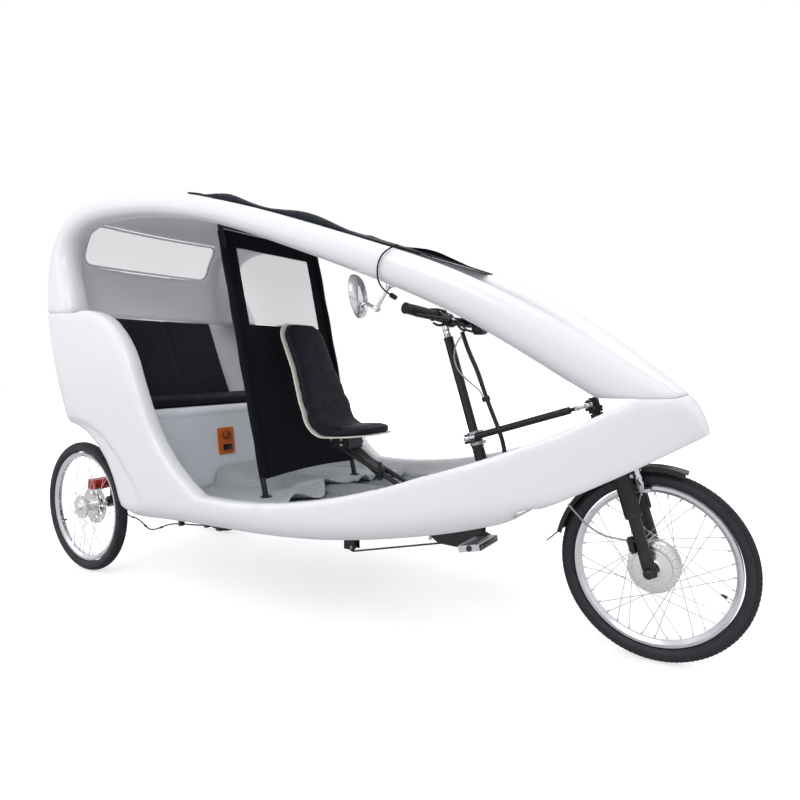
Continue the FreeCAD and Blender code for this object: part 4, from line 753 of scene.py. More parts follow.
def drive():
    """Bush chain with its links, teeth on the large ring, and the crank's and guard's bolts."""
    pins = chain_pins()
    shape = Shape()
    for i, pin in enumerate(pins):
        ahead = pins[(i + 1) % len(pins)]
        middle = (pin + ahead) / 2
        run = (ahead - pin).normalized()
        up = Y_DIR.cross(run)
        off = 0.0033 if i % 2 else 0.0021
        half = (ahead - pin).length / 2
        plate = [middle + run * a + up * b for a, b in (
            (-half, -0.0038), (-half * 0.35, -0.0026), (half * 0.35, -0.0026), (half, -0.0038),
            (half + 0.0036, 0.0), (half, 0.0038), (half * 0.35, 0.0026), (-half * 0.35, 0.0026),
            (-half, 0.0038), (-half - 0.0036, 0.0))]
        for side in (-1, 1):
            shape.rings([[p + Y_DIR * (side * off + face) for p in plate]
                         for face in (-0.0005, 0.0005)])
        shape.lathe(pin - Y_DIR * 0.0030, Y_DIR, [(0, 0.0030), (0.0060, 0.0030)], 8)
        shape.lathe(pin - Y_DIR * 0.0041, Y_DIR, [(0, 0.0016), (0.0082, 0.0016)], 6)
    shape.piece("chain_links", "chain", "chassis", ("chain",))
    ring = Shape()
    centre = at(CRANK_X, CHAIN_Y, CRANK_Z)
    first = pins[0] - centre
    phase = math.atan2(first.z, first.x)
    for turn in turns(RING_TEETH, 0.5):
        out = spoke(phase + turn)
        side = Y_DIR.cross(out)
        base = centre + out * 0.0985
        ring.rings([
            [base + out * h + side * (w * s) + Y_DIR * (0.0011 * t)
             for s, t in ((-1, -1), (1, -1), (1, 1), (-1, 1))]
            for h, w in ((0, 0.0036), (0.0032, 0.0022), (0.0075, 0.0009))])
    ring.piece("ring_teeth", "steel", "cranks")
    bolts = Shape()
    for side in (-1, 1):
        bolts.lathe(at(CRANK_X, side * 97.5, CRANK_Z), Y_DIR * side, [
            (0, 0.0125), (0.001, 0.0125), (0.0022, 0.0110), (0.0022, 0.0060), (0.0008, 0.0055),
            (0.0008, 0.0)], 24)
    for turn in turns(5, 0.5):
        bolts.bolt(at(CRANK_X, CHAIN_Y - 2, CRANK_Z) + spoke(turn) * 0.052, -Y_DIR, 0.0050, 0.004)
    bolts.piece("crank_bolts", "steel", "cranks")
    guard = Shape()
    for x, z in ((1672, 354), (1912, 452), (1700, 300), (1902, 330)):
        guard.bolt(at(x, -73, z), -Y_DIR, 0.0055, 0.0045)
    for x, z, r in ((1290, 245, 7), (1316, 206, 7), (1500, 310, 6)):
        guard.bolt(at(x, CHAIN_Y - (12 if x < 1400 else 8), z), -Y_DIR, r * MM * 0.7, 0.004)
    guard.piece("guard_bolts", "steel", "chassis")


drive()


def pedal_trim(side, name):
    """Toothed cage edges, a dark front plate and the bearing's caps on a pedal."""
    turn = math.radians(CRANK_DEG + (0 if side < 0 else 180))
    middle = at(CRANK_X, side * 165, CRANK_Z) + spoke(turn) * (CRANK_REACH * MM)
    pitch = math.radians(12)
    ahead, up = spoke(pitch), spoke(pitch + math.pi / 2)
    grip = Shape()
    for end in (-1, 1):
        for k in range(9):
            y = Y_DIR * ((k - 4) * 0.0135)
            for face in (-1, 1):
                grip.slab(middle + ahead * (end * 0.0375) + y + up * (face * 0.0118), ahead,
                          Y_DIR, (0.0050, 0.0050, 0.0024), 0.2)
    for edge in (-1, 1):
        grip.bolt(middle + Y_DIR * (edge * 0.052) + ahead * 0.0412, ahead, 0.0030, 0.0015)
    grip.piece(name + "_cage_teeth", "alloy", name)
    dark = Shape()
    dark.slab(middle + ahead * 0.0405, Y_DIR, up, (0.134, 0.0185, 0.0022), 0.3)
    dark.lathe(middle + Y_DIR * (side * 0.0665), Y_DIR * side, [
        (0, 0.0100), (0.0020, 0.0095), (0.0035, 0.0070), (0.0035, 0.0)], 20)
    dark.piece(name + "_front_plate", "resin_brown", name)


pedal_trim(-1, "right_pedal")
pedal_trim(1, "left_pedal")


# ---------------------------------------------------------------- shells
SEAM_BLEND = 1.30             # the roof's rear foot is as modelled above this height
FOOT_END = at(340, 0, 0).x    # and ends here
RIM_AT = (-1.27, 1.1874)      # x and height of the tub's upper edge at the back
RIM_FALL = 0.0535
FOOT_AT = (-1.14, 1.205)      # the modelled foot's underside is level up to here, then rises
FOOT_RISE = 0.249
NOSE_X = at(2110, 0, 0).x     # middle of the turned-up underside, its half length and height
NOSE_REACH = 0.17
NOSE_TOP, NOSE_FADE = 0.60, 0.07
BOTTOM_X = at(1907, 0, 0).x   # the underside's lowest line from here: height, slope and bend
BOTTOM_LINE = (0.375, 0.40, 0.10)


def down_to_tub(point):
    """Brings the roof's rear foot down on the tub's sloping upper edge."""
    if point.x > FOOT_END or point.z > SEAM_BLEND:
        return point
    rim = RIM_AT[1] - RIM_FALL * (point.x - RIM_AT[0])
    foot = FOOT_AT[1] + FOOT_RISE * max(0.0, point.x - FOOT_AT[0])
    share = max(0.0, point.z - foot) / (SEAM_BLEND - foot)
    return Vector((point.x, point.y, rim + share * (SEAM_BLEND - rim)))


def under_nose(point):
    """Weight of the extra smoothing where the tub's underside turns up to the wheel."""
    along = 1.0 - abs(point.x - NOSE_X) / NOSE_REACH
    return max(0.0, min(1.0, 2.0 * along, (NOSE_TOP - point.z) / NOSE_FADE))


def level_bottom(point):
    """Keeps the middle of the nose's underside up at the height of its outer edges."""
    along = point.x - BOTTOM_X
    if along <= 0:
        return point
    height, slope, bend = BOTTOM_LINE
    return Vector((point.x, point.y, max(point.z, height + slope * along + bend * along ** 2)))


moulded_roof = soften("roof_shell", "roof", "shell", 0.0070, 3, "white_shell", 40000,
                      surface_of("tub_shell"), down_to_tub)
soften("tub_shell", "tub", "shell", 0.0080, 3, "white_shell", 42000,
       surface_of(moulded_roof), level_bottom, under_nose)


# ---------------------------------------------------------------- wheels
SPOKES = 36
TREAD_PITCHES = 118           # blocks round the tyre
BLOCK_PITCH = 17.0            # degrees over the tread, from block to block
GROOVE_EDGE = (3.2, 13.8)     # where a block begins and ends in its pitch
TREAD_DEEP = 0.0027
TREAD_LEAN = 66               # the tread's edge, in degrees from the middle


def tread_depth(turn, lean_deg):
    """How far the tread lies below its blocks' tops at a place round the tyre."""
    side = abs(lean_deg)
    if side > TREAD_LEAN:
        return None
    row, edge = divmod(side + BLOCK_PITCH / 2, BLOCK_PITCH)
    if not GROOVE_EDGE[0] <= edge <= GROOVE_EDGE[1]:
        return 1.0
    stagger = 0.5 * (int(row) % 2) + (0.25 if lean_deg < 0 else 0.0)
    place = (turn * TREAD_PITCHES / (2 * math.pi) + stagger + 0.012 * side) % 1.0
    return 1.0 if place < 0.3 else 0.0


def detailed_tyre(name, node, body):
    """Tyre with rows of small staggered tread blocks and a ribbed sidewall."""
    low, high = size_of(node)
    middle = (low + high) / 2
    outer = (high.x - low.x) / 2
    half = (high.y - low.y) / 2
    belly = outer - half
    angles = [-144 + 7.2 * k for k in range(11)] + [-66 + 3.3 * k for k in range(41)]
    angles += [72 + 7.2 * k for k in range(11)]
    shape = Shape()
    rings = []
    for turn in turns(TREAD_PITCHES * 4):
        ring = []
        for lean_deg in angles:
            lean = math.radians(lean_deg)
            drop = tread_depth(turn, lean_deg)
            reach = half
            if drop is None:
                reach -= 0.0006 if 84 < abs(lean_deg) < 92 else 0.0
                reach -= 0.0009 if abs(lean_deg) > 72 else 0.0
            else:
                reach -= TREAD_DEEP * drop
            r = belly + reach * math.cos(lean)
            y = (half - 0.0004) * math.sin(lean) * (reach / half)
            ring.append(middle + spoke(turn) * r + Y_DIR * y)
        rings.append(ring)
    shape.rings(rings, closed=True)
    obj = shape.piece(name, "tyre", body, (node,), smooth=False)
    smooth_by_angle(obj.data, math.radians(34))


def wheel_trim(name, node_rim, body, valve_deg):
    """Spoke nipples round the rim and a valve with its cap."""
    low, high = size_of(node_rim)
    middle = (low + high) / 2
    rim_base = (high.x - low.x) / 2 - 0.0194
    nipples = Shape()
    for i, turn in enumerate(turns(SPOKES)):
        side = 1 if i % 2 else -1
        out = spoke(turn)
        place = middle + out * (rim_base + 0.001) + Y_DIR * (side * 0.002)
        nipples.lathe(place, -out, [(0, 0.0029), (0.004, 0.0029), (0.005, 0.0021),
                                    (0.012, 0.0018)], 8)
    nipples.piece(name + "_nipples", "alloy", body)
    out = spoke(math.radians(valve_deg))
    place = middle + out * (rim_base + 0.001)
    valve = Shape()
    valve.lathe(place, -out, [(0, 0.0052), (0.003, 0.0052), (0.004, 0.003), (0.020, 0.003)], 16)
    valve.piece(name + "_valve", "alloy", body)
    cap = Shape()
    cap.lathe(place - out * 0.017, -out,
              [(0, 0.0046), (0.012, 0.0046), (0.016, 0.0034), (0.019, 0.002)], 16)
    cap.piece(name + "_valve_cap", "black_plastic", body)


for wheel, valve_deg in (("front", -17), ("rear_right", 205), ("rear_left", 140)):
    detailed_tyre(wheel + "_tyre_tread", wheel + "_tyre", wheel + "_wheel")
    wheel_trim(wheel, wheel + "_rim", wheel + "_wheel", valve_deg)


def front_hub():
    """Motor hub: stepped covers, a ring of cover screws and two drilled spoke flanges."""
    low, high = size_of("front_hub_motor")
    middle = (low + high) / 2
    half = (high.y - low.y) / 2
    flange = (high.x - low.x) / 2
    body = flange - 0.008
    hub = Shape()
    rings = [(-half, 0.0090), (-half, 0.024), (-half + 0.002, 0.026), (-half + 0.004, 0.029),
             (-half + 0.0045, 0.050), (-half + 0.0065, 0.0585), (-half + 0.010, 0.0605),
             (-half + 0.0105, 0.0635), (-half + 0.0085, 0.0645), (-half + 0.0085, body - 0.0005),
             (-half + 0.0095, body + 0.001), (-half + 0.0105, flange), (-half + 0.0135, flange),
             (-half + 0.0145, body)]
    profile = rings + [(-along, radius) for along, radius in reversed(rings)]
    hub.lathe(middle, Y_DIR, profile, 96)
    hub.piece("front_hub_casing", "hub", "front_wheel", ("front_hub_motor",))
    screws = Shape()
    for side in (-1, 1):
        for turn in turns(18, 0.5):
            place = middle + spoke(turn) * 0.0672 + Y_DIR * (side * (half - 0.0085))
            screws.lathe(place, Y_DIR * side, [(0, 0.0024), (0.0012, 0.0024), (0.0016, 0.0014)], 10)
        for turn in turns(SPOKES):
            place = middle + spoke(turn) * (flange - 0.0035) + Y_DIR * (side * (half - 0.0105))
            screws.lathe(place, Y_DIR * side, [(0, 0.0022), (0.001, 0.0022), (0.0015, 0.0012)], 8)
    screws.piece("front_hub_screws", "steel", "front_wheel")


front_hub()


def rear_hub_trim(side, wheel):
    """Drilled outer flange, axle cap and rotor bolts of a rear hub."""
    low, high = size_of(wheel + "_hub")
    tyre = middle_of(wheel + "_tyre")
    outer = high.y if side > 0 else low.y
    out = Y_DIR * side
    trim = Shape()
    face = Vector((tyre.x, tyre.y + side * 0.0270, tyre.z))
    trim.lathe(face, out, [(0, 0.0538), (0.0022, 0.0532), (0.0026, 0.048), (0.0016, 0.0455),
                           (0.0016, 0.034), (0.0045, 0.031), (0.0060, 0.0265), (0.0060, 0.0185),
                           (0.0015, 0.0180)], 64)
    for turn in turns(18):
        trim.lathe(face + spoke(turn) * 0.0500, out, [(0.0015, 0.0023), (0.0034, 0.0021),
                                                      (0.0040, 0.0012)], 8)
    trim.piece(wheel + "_hub_flange", "hub", wheel + "_wheel")
    cap = Shape()
    end = Vector((tyre.x, outer - side * 0.009, tyre.z))
    cap.lathe(end, out, [(0, 0.0172), (0.0068, 0.0172), (0.0080, 0.0160), (0.0080, 0.0100),
                         (0.0062, 0.0092), (0.0062, 0.0)], 32)
    cap.piece(wheel + "_axle_cap", "steel", wheel + "_wheel")
    rotor = Shape()
    disc = Vector((tyre.x, tyre.y - side * 0.0380, tyre.z))
    for turn in turns(6, 0.5):
        rotor.bolt(disc + spoke(turn) * 0.030 - out * 0.0010, -out, 0.0036, 0.004)
        rotor.tube([disc + spoke(turn) * reach - out * 0.0016 for reach in (0.029, 0.052)],
                   0.0022, 6)
    rotor.piece(wheel + "_rotor_bolts", "steel", wheel + "_wheel")


rear_hub_trim(-1, "rear_right")
rear_hub_trim(1, "rear_left")


# ---------------------------------------------------------------- soft goods
CLOTH_FRAMES = 20


def inflated(node, name, voxel, shrink, cap, pinch):
    """Padded copy of a soft CAD solid: remeshed, puffed by a cloth simulation and capped."""
    obj = copy_node(node, name)
    weld(obj)
    add_remesh(obj, voxel)
    add_relax(obj, 4)
    bake_modifiers(obj)
    push(obj.data, lambda place: -shrink)
    start = [v.co.copy() for v in obj.data.vertices]
    cloth = obj.modifiers.new("cloth", "CLOTH")
    cloth.settings.use_pressure = True
    cloth.settings.uniform_pressure_force = 4.0
    cloth.settings.effector_weights.gravity = 0
    cloth.settings.quality = 5
    cloth.point_cache.frame_start = 1
    cloth.point_cache.frame_end = CLOTH_FRAMES
    for step in range(CLOTH_FRAMES):
        bpy.context.scene.frame_set(step + 1)
    bake_modifiers(obj)
    bpy.context.scene.frame_set(1)
    for v, s in zip(obj.data.vertices, start):
        move = v.co - s
        if move.length > cap:
            v.co = s + move.normalized() * cap
    obj.data.update()
    push(obj.data, lambda place: -sum(depth * math.exp(-((place[axis] - middle) / width) ** 2)
                                      for axis, middle, width, depth in pinch))
    dress(obj, "vinyl")
    finer = obj.modifiers.new("finer", "SUBSURF")
    finer.levels = finer.render_levels = 1
    bake_modifiers(obj)
    dress(obj, "vinyl", smooth=False)
    stand_for(obj, node, slot="black_leather")
    return obj


def push(mesh, how_far):
    """Moves every vertex along its normal."""
    normals = [v.normal.copy() for v in mesh.vertices]
    for v, n in zip(mesh.vertices, normals):
        v.co += n * how_far(v.co)


# the sewn channels are given as axis, place, width and depth
inflated("bench_cushion", "bench_seat_pad", 0.013, 0.004, 0.006,
         ((1, -0.17, 0.006, 0.005), (1, 0.17, 0.006, 0.005)))
inflated("bench_backrest", "bench_back_pad", 0.012, 0.005, 0.007, ((1, 0.0, 0.006, 0.006),))
rider_pad = inflated("seat_pad", "rider_seat_pad", 0.0085, 0.003, 0.005,
                     ((0, at(1152, 0, 0).x, 0.007, 0.004), (0, at(1196, 0, 0).x, 0.007, 0.003)))


NUB = 0.10                    # how strongly the very top of the seat's back is drawn down


def round_top(obj, margin):
    """Draws the back's upper corners in to the photographed round end."""
    reach = 0.105
    half = 0.122 - margin
    top = size_of("seat_shell")[1].z - margin
    for v in obj.data.vertices:
        rise = (v.co.z - (top - reach)) / reach
        if rise > 0:
            room = half * (1 - min(rise, 1.0) ** 2.2) ** 0.45 + 0.004
            v.co.y *= min(1.0, max(room, 0.02) / half)
            v.co.z -= NUB * max(0.0, rise - 0.86)


rider_shell = copy_node("seat_shell", "rider_seat_shell")
weld(rider_shell)
add_remesh(rider_shell, 0.0042)
add_relax(rider_shell, 2)
bake_modifiers(rider_shell)
round_top(rider_shell, 0.0)
round_top(rider_pad, 0.006)
dress(rider_shell, "seat_shell", smooth=False)
all_smooth(rider_shell.data)
stand_for(rider_shell, "seat_shell", slot="seat_plastic")


def grid_piece(name, material, body, columns, rows, place, keep=lambda u, v: True, thick=0.0016):
    """Thin sheet over a grid; place gives a point for u and v from 0 to 1."""
    verts = []
    for j in range(rows + 1):
        for i in range(columns + 1):
            verts.append(place(i / columns, j / rows))
    faces = []
    for j in range(rows):
        for i in range(columns):
            if keep((i + 0.5) / columns, (j + 0.5) / rows):
                a = j * (columns + 1) + i
                faces.append((a, a + 1, a + columns + 2, a + columns + 1))
    mesh = bpy.data.meshes.new(name)
    mesh.from_pydata(verts, [], faces)
    work = bmesh.new()
    work.from_mesh(mesh)
    bmesh.ops.delete(work, geom=[v for v in work.verts if not v.link_faces], context="VERTS")
    bmesh.ops.recalc_face_normals(work, faces=work.faces)
    work.to_mesh(mesh)
    work.free()
    obj = link(bpy.data.objects.new(name, mesh))
    flat_area = sum(p.area for p in mesh.polygons)
    body_mod = obj.modifiers.new("thick", "SOLIDIFY")
    body_mod.thickness = thick
    body_mod.offset = 0
    bake_modifiers(obj)
    dress(obj, material, smooth=False)
    all_smooth(obj.data)
    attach(obj, body)
    return obj, flat_area


def ripple(point, scale, seed):
    return noise.noise(point * scale + Vector((seed, seed * 0.7, 0)))


def cover():
    """Black waterproof cover over the rails with its pale lining turned out at the edges."""
    tree = surface_of("rain_cover")
    low, high = size_of("rain_cover")

    def top(x, y):
        return tree.ray_cast(Vector((x, y, high.z + 0.2)), -Z_DIR)[0]

    def place(u, v, lift=0.0):
        x = low.x + 0.004 + (high.x - low.x - 0.008) * v
        centre = top(x, 0.0)
        half = 0.48
        while half > 0.2 and top(x, half) is None:
            half -= 0.004
        scallop = 0.012 * math.sin(math.pi * v) * (1 if v < 0.9 else 0)
        half = half - 0.003 - scallop
        y = -half + 2 * half * u
        hit = top(x, y) or Vector((x, y, centre.z))
        edge = min(u, 1 - u) * 2 * half
        end = min(v, 1 - v) * (high.x - low.x)
        slack = 0.0035 * ripple(hit, 5.5, 3.0) + 0.0020 * ripple(hit, 17.0, 9.0)
        fade = min(1.0, edge / 0.06, end / 0.05)
        near_back = max(0.0, 1 - v * 9)
        curl = 0.010 * near_back * (0.5 + 0.5 * math.sin(u * 23.0))
        return Vector((x, y, hit.z - 0.0045 + slack * fade + curl + lift))

    obj, area = grid_piece("roof_cover", "cover_cloth", "chassis", 80, 92, place)
    stand_for(obj, "rain_cover", slot="cover_fabric")
    hems = Shape()
    for u in (0.004, 0.996):
        hems.tube([place(u, k / 60, 0.0005) for k in range(61)], 0.0030, 8)
    for v in (0.004, 0.996):
        hems.tube([place(k / 60, v, 0.0005) for k in range(61)], 0.0032, 8)
    hems.piece("roof_cover_hems", "black_cloth", "chassis")
    for u, sense, name in ((0.0, -1, "right"), (1.0, 1, "left")):
        def flap(s, t, u=u, sense=sense):
            foot = place(u, 0.01 + 0.98 * s, -0.002)
            swell = 0.5 - 0.5 * math.cos(2 * math.pi * (2.1 * s + 0.12))
            high_by = (0.008 + 0.020 * swell) * min(1.0, s * 4 + 0.05, (1 - s) * 6 + 0.05)
            out_by = 0.006 * math.sin(math.pi * t) + 0.004 * ripple(foot, 9.0, 3.0)
            return foot + Z_DIR * (high_by * t) + Y_DIR * (sense * out_by - sense * 0.012 * t)

        strip, area_strip = grid_piece("roof_cover_edge_" + name, "cover_cloth", "chassis", 120, 8,
                                       flap, thick=0.0022)
    lining, area_lining = grid_piece("roof_cover_lining", "lining", "chassis", 60, 60,
                           lambda u, v: place(0.012 + 0.976 * u, 0.012 + 0.976 * v, -0.0022),
                           thick=0.0008)


cover()


def divider():
    """Cloth laced between the poles, with a clear sheet sewn into its upper half."""
    low, high = size_of("divider_cloth")
    glass_low, glass_high = size_of("divider_window")
    rise = Vector((low.x - high.x, 0, high.z - low.z))
    foot = Vector((high.x, 0, low.z))
    half = (high.y - low.y) / 2
    length = rise.length
    along = rise.normalized()
    out = Y_DIR.cross(along).normalized()
    v_low = (glass_low.z - low.z) / (high.z - low.z)
    v_high = (glass_high.z - low.z) / (high.z - low.z)
    u_edge = 0.5 - glass_high.y / (2 * half)

    def place(u, v, lift=0.0):
        y = -half + 2 * half * u
        p = foot + along * (length * (0.004 + 0.992 * v)) + Y_DIR * y
        edge = min(u, 1 - u)
        near_glass = max(0.0, 1 - max(v_low - v, v - v_high, 0.0) * 9)
        slack = min(1.0, edge * 9) * (1 - 0.75 * near_glass)
        wave = 0.0060 * ripple(Vector((0, y * 0.9, p.z * 0.55)), 6.0, 4.0)
        wave += 0.0028 * ripple(Vector((0, y * 2.6, p.z * 0.9)), 9.0, 11.0)
        if v < 0.12:
            p = p + along * (0.010 * math.sin(u * math.pi)) * (1 - v / 0.12)
        return p + out * (wave * slack + lift) - X_DIR * 0.0008

    def keep(u, v):
        return not (u_edge < u < 1 - u_edge and v_low < v < v_high)

    obj, area = grid_piece("divider_curtain", "black_cloth", "chassis", 66, 132, place, keep,
                           0.0018)
    stand_for(obj, "divider_cloth", slot="black_fabric")
    seams = Shape()
    u_in, u_out = u_edge - 0.010, 1 - u_edge + 0.010
    frame_line = [(u0 + (u1 - u0) * k / 40, v0 + (v1 - v0) * k / 40)
                  for u0, v0, u1, v1 in ((u_in, v_low - 0.004, u_out, v_low - 0.004),
                                         (u_out, v_low, u_out, v_high),
                                         (u_out, v_high + 0.004, u_in, v_high + 0.004),
                                         (u_in, v_high, u_in, v_low))
                  for k in range(41)]
    for face in (-1, 1):
        seams.tube([place(u, v, face * 0.0014) for u, v in frame_line], 0.0011, 6)
        seams.tube([place(k / 60, 0.012, face * 0.0014) for k in range(61)], 0.0012, 6)
        for u in (0.055, 0.945):
            seams.tube([place(u, k / 90, face * 0.0014) for k in range(91)], 0.0010, 6)
    seams.piece("divider_seams", "black_cloth", "chassis")
    glass, _ = grid_piece(
        "divider_clear_sheet", "divider_window", "chassis", 30, 24,
        lambda u, v: foot + along * (length * (v_low + (v_high - v_low) * v))
        + Y_DIR * (glass_low.y + (glass_high.y - glass_low.y) * u)
        + out * (0.0030 * ripple(Vector((u * 1.3, v, 0)), 2.2, 5.0)), thick=0.0012)
    stand_for(glass, "divider_window", slot="clear_window")
    sleeve = Shape()
    for side in (-1, 1):
        pole = foot + Y_DIR * (side * (half + 0.011))
        a, b = (pole + along * (length * share) for share in (0.012, 0.985))
        sleeve.tube([a.lerp(b, k / 40) for k in range(41)],
                    lambda t: 0.0135 + 0.0012 * math.sin(t * 31.0), 14)
    sleeve.piece("divider_pole_sleeves", "black_cloth", "chassis")


divider()


def floor_mat():
    """Speckled felt mat that lies on the floor and over its tunnel, with a loose front edge."""
    tree = surface_of("floor_pan")
    low, high = size_of("floor_pan")
    half = 0.452
    back = low.x + 0.004
    front = at(1255, 0, 0).x

    def place(u, v):
        y = -half + 2 * half * u
        edge = front + 0.040 * math.sin(u * 9.0) + 0.030 * math.sin(u * 21.0 + 1.0) - 0.03
        x = back + (edge - back) * v
        hits = []
        for dx, dy in ((0, 0), (0.012, 0), (-0.012, 0), (0, 0.012), (0, -0.012)):
            hit = tree.ray_cast(Vector((max(x + dx, back), y + dy, high.z + 0.1)), -Z_DIR)[0]
            if hit is not None:
                hits.append(hit.z)
        base = max(hits) if hits else at(0, 0, 420).z
        lift = max(0.0, (v - 0.80) / 0.20) ** 2
        wave = 0.5 + 0.5 * math.sin(u * 33.0 + 1.5 * math.sin(u * 8.0))
        bumps = 0.004 * (0.5 + ripple(Vector((x, y, 0)), 7.0, 2.0))
        return Vector((x, y, base + 0.0022 + bumps + lift * 0.034 * wave))

    obj, area = grid_piece("floor_mat", "mat", "chassis", 100, 70, place, thick=0.0030)
    min(area, 0.62)


floor_mat()


# ---------------------------------------------------------------- cabin trim
def plate_trim():
    """Round knob with its pointer, rocker switch and screws on the control plate."""
    foot = at(646, 0, 420)
    up = (at(620, 0, 728) - foot).normalized()
    out = Y_DIR.cross(up).normalized()
    if out.x < 0:
        out = -out

    def on_plate(y, z, off):
        return foot + up * ((at(0, 0, z).z - foot.z) / up.z) + out * (off * MM) + Y_DIR * (y * MM)

    knob = Shape()
    centre = on_plate(-96, 634, 4.5)
    profile = [(0, 0.0205), (0.003, 0.0205), (0.0035, 0.0172), (0.016, 0.0160), (0.018, 0.0145),
               (0.018, 0.0)]
    knob.lathe(centre, out, profile, 40)
    for rib in circle(Vector(), *across(out), 1.0, 20):
        knob.slab(centre + rib * 0.0166 + out * 0.0095, out, rib.cross(out),
                  (0.012, 0.0016, 0.0018))
    knob.piece("control_knob", "orange_dark", "chassis")
    marks = Shape()
    marks.slab(centre + out * 0.0184 + up * 0.008, up, Y_DIR, (0.012, 0.0022, 0.0008))
    switch = on_plate(-96, 580, 10.4)
    marks.slab(switch, Y_DIR, up, (0.047, 0.026, 0.004))
    marks.slab(switch + out * 0.0025 - up * 0.003, Y_DIR, up, (0.036, 0.014, 0.005))
    marks.slab(switch + out * 0.0028 + Y_DIR * 0.010 + up * 0.004, Y_DIR, up,
               (0.010, 0.006, 0.006))
    marks.piece("control_switch", "black_plastic", "chassis")
    screws = Shape()
    for y in (-132, -60):
        for z in (556, 660):
            screws.lathe(on_plate(y, z, 4.2), out, [(0, 0.0034), (0.0012, 0.0032),
                                                    (0.0018, 0.0016)], 14)
    screws.piece("control_screws", "steel", "chassis")


plate_trim()


def mirror():
    """Chrome bowl with a bright rim, an inner glass and a knurled joint on the arm."""
    centre = at(1612, -362, 1166)
    facing = Vector((-0.86, -0.34, -0.12)).normalized()
    bowl = Shape()
    bowl.lathe(centre, facing, [
        (0.0072, 0.0), (0.0072, 0.060), (0.0090, 0.0655), (0.0095, 0.0700), (0.0075, 0.0725),
        (0.0040, 0.0728), (0.0, 0.0722), (-0.010, 0.0675), (-0.019, 0.0545), (-0.0235, 0.0350),
        (-0.0245, 0.0150), (-0.0250, 0.0)], 72)
    for k in range(3):
        bowl.lathe(centre, facing, [(-0.0245 + 0.0028 * k, 0.018 + 0.010 * k),
                                    (-0.0262 + 0.0028 * k, 0.020 + 0.010 * k),
                                    (-0.0245 + 0.0028 * k, 0.022 + 0.010 * k)], 64)
    bowl.piece("mirror_bowl", "chrome", "chassis")
    lens = Shape()
    lens.lathe(centre, facing, [(0.0076, 0.0), (0.0084, 0.030), (0.0088, 0.058),
                                (0.0080, 0.0605)], 64)
    lens.piece("mirror_glass", "mirror_glass", "chassis")
    joint = Shape()
    arm = at(1690, -366, 1120)
    joint.lathe(arm - Vector((0, 0.010, 0)), Y_DIR, [(0, 0.0085), (0.003, 0.0098),
                                                     (0.017, 0.0098), (0.020, 0.0085)], 24)
    joint.bolt(arm - Vector((0, 0.0105, 0)), -Y_DIR, 0.0045, 0.004)
    root = at(1745, -366, 1196)
    down = (arm - root).normalized()
    joint.lathe(root, down, [(0.0, 0.0125), (0.004, 0.0130), (0.010, 0.0100), (0.016, 0.0070),
                             (0.020, 0.0064)], 24)
    joint.piece("mirror_joint", "chrome", "chassis")


mirror()


# ---------------------------------------------------------------- handlebar
COLUMN_AT = joint_at("handlebar_turn")
BAR_TIP = at(1756, 300, 1124)
BAR_ELBOW = at(1826, 100, 1092)


def on_column(up):
    return COLUMN_AT + STEER_UP * (up * MM)


def on_bar(share, side):
    p = BAR_ELBOW.lerp(BAR_TIP, share)
    return Vector((p.x, p.y * side, p.z))


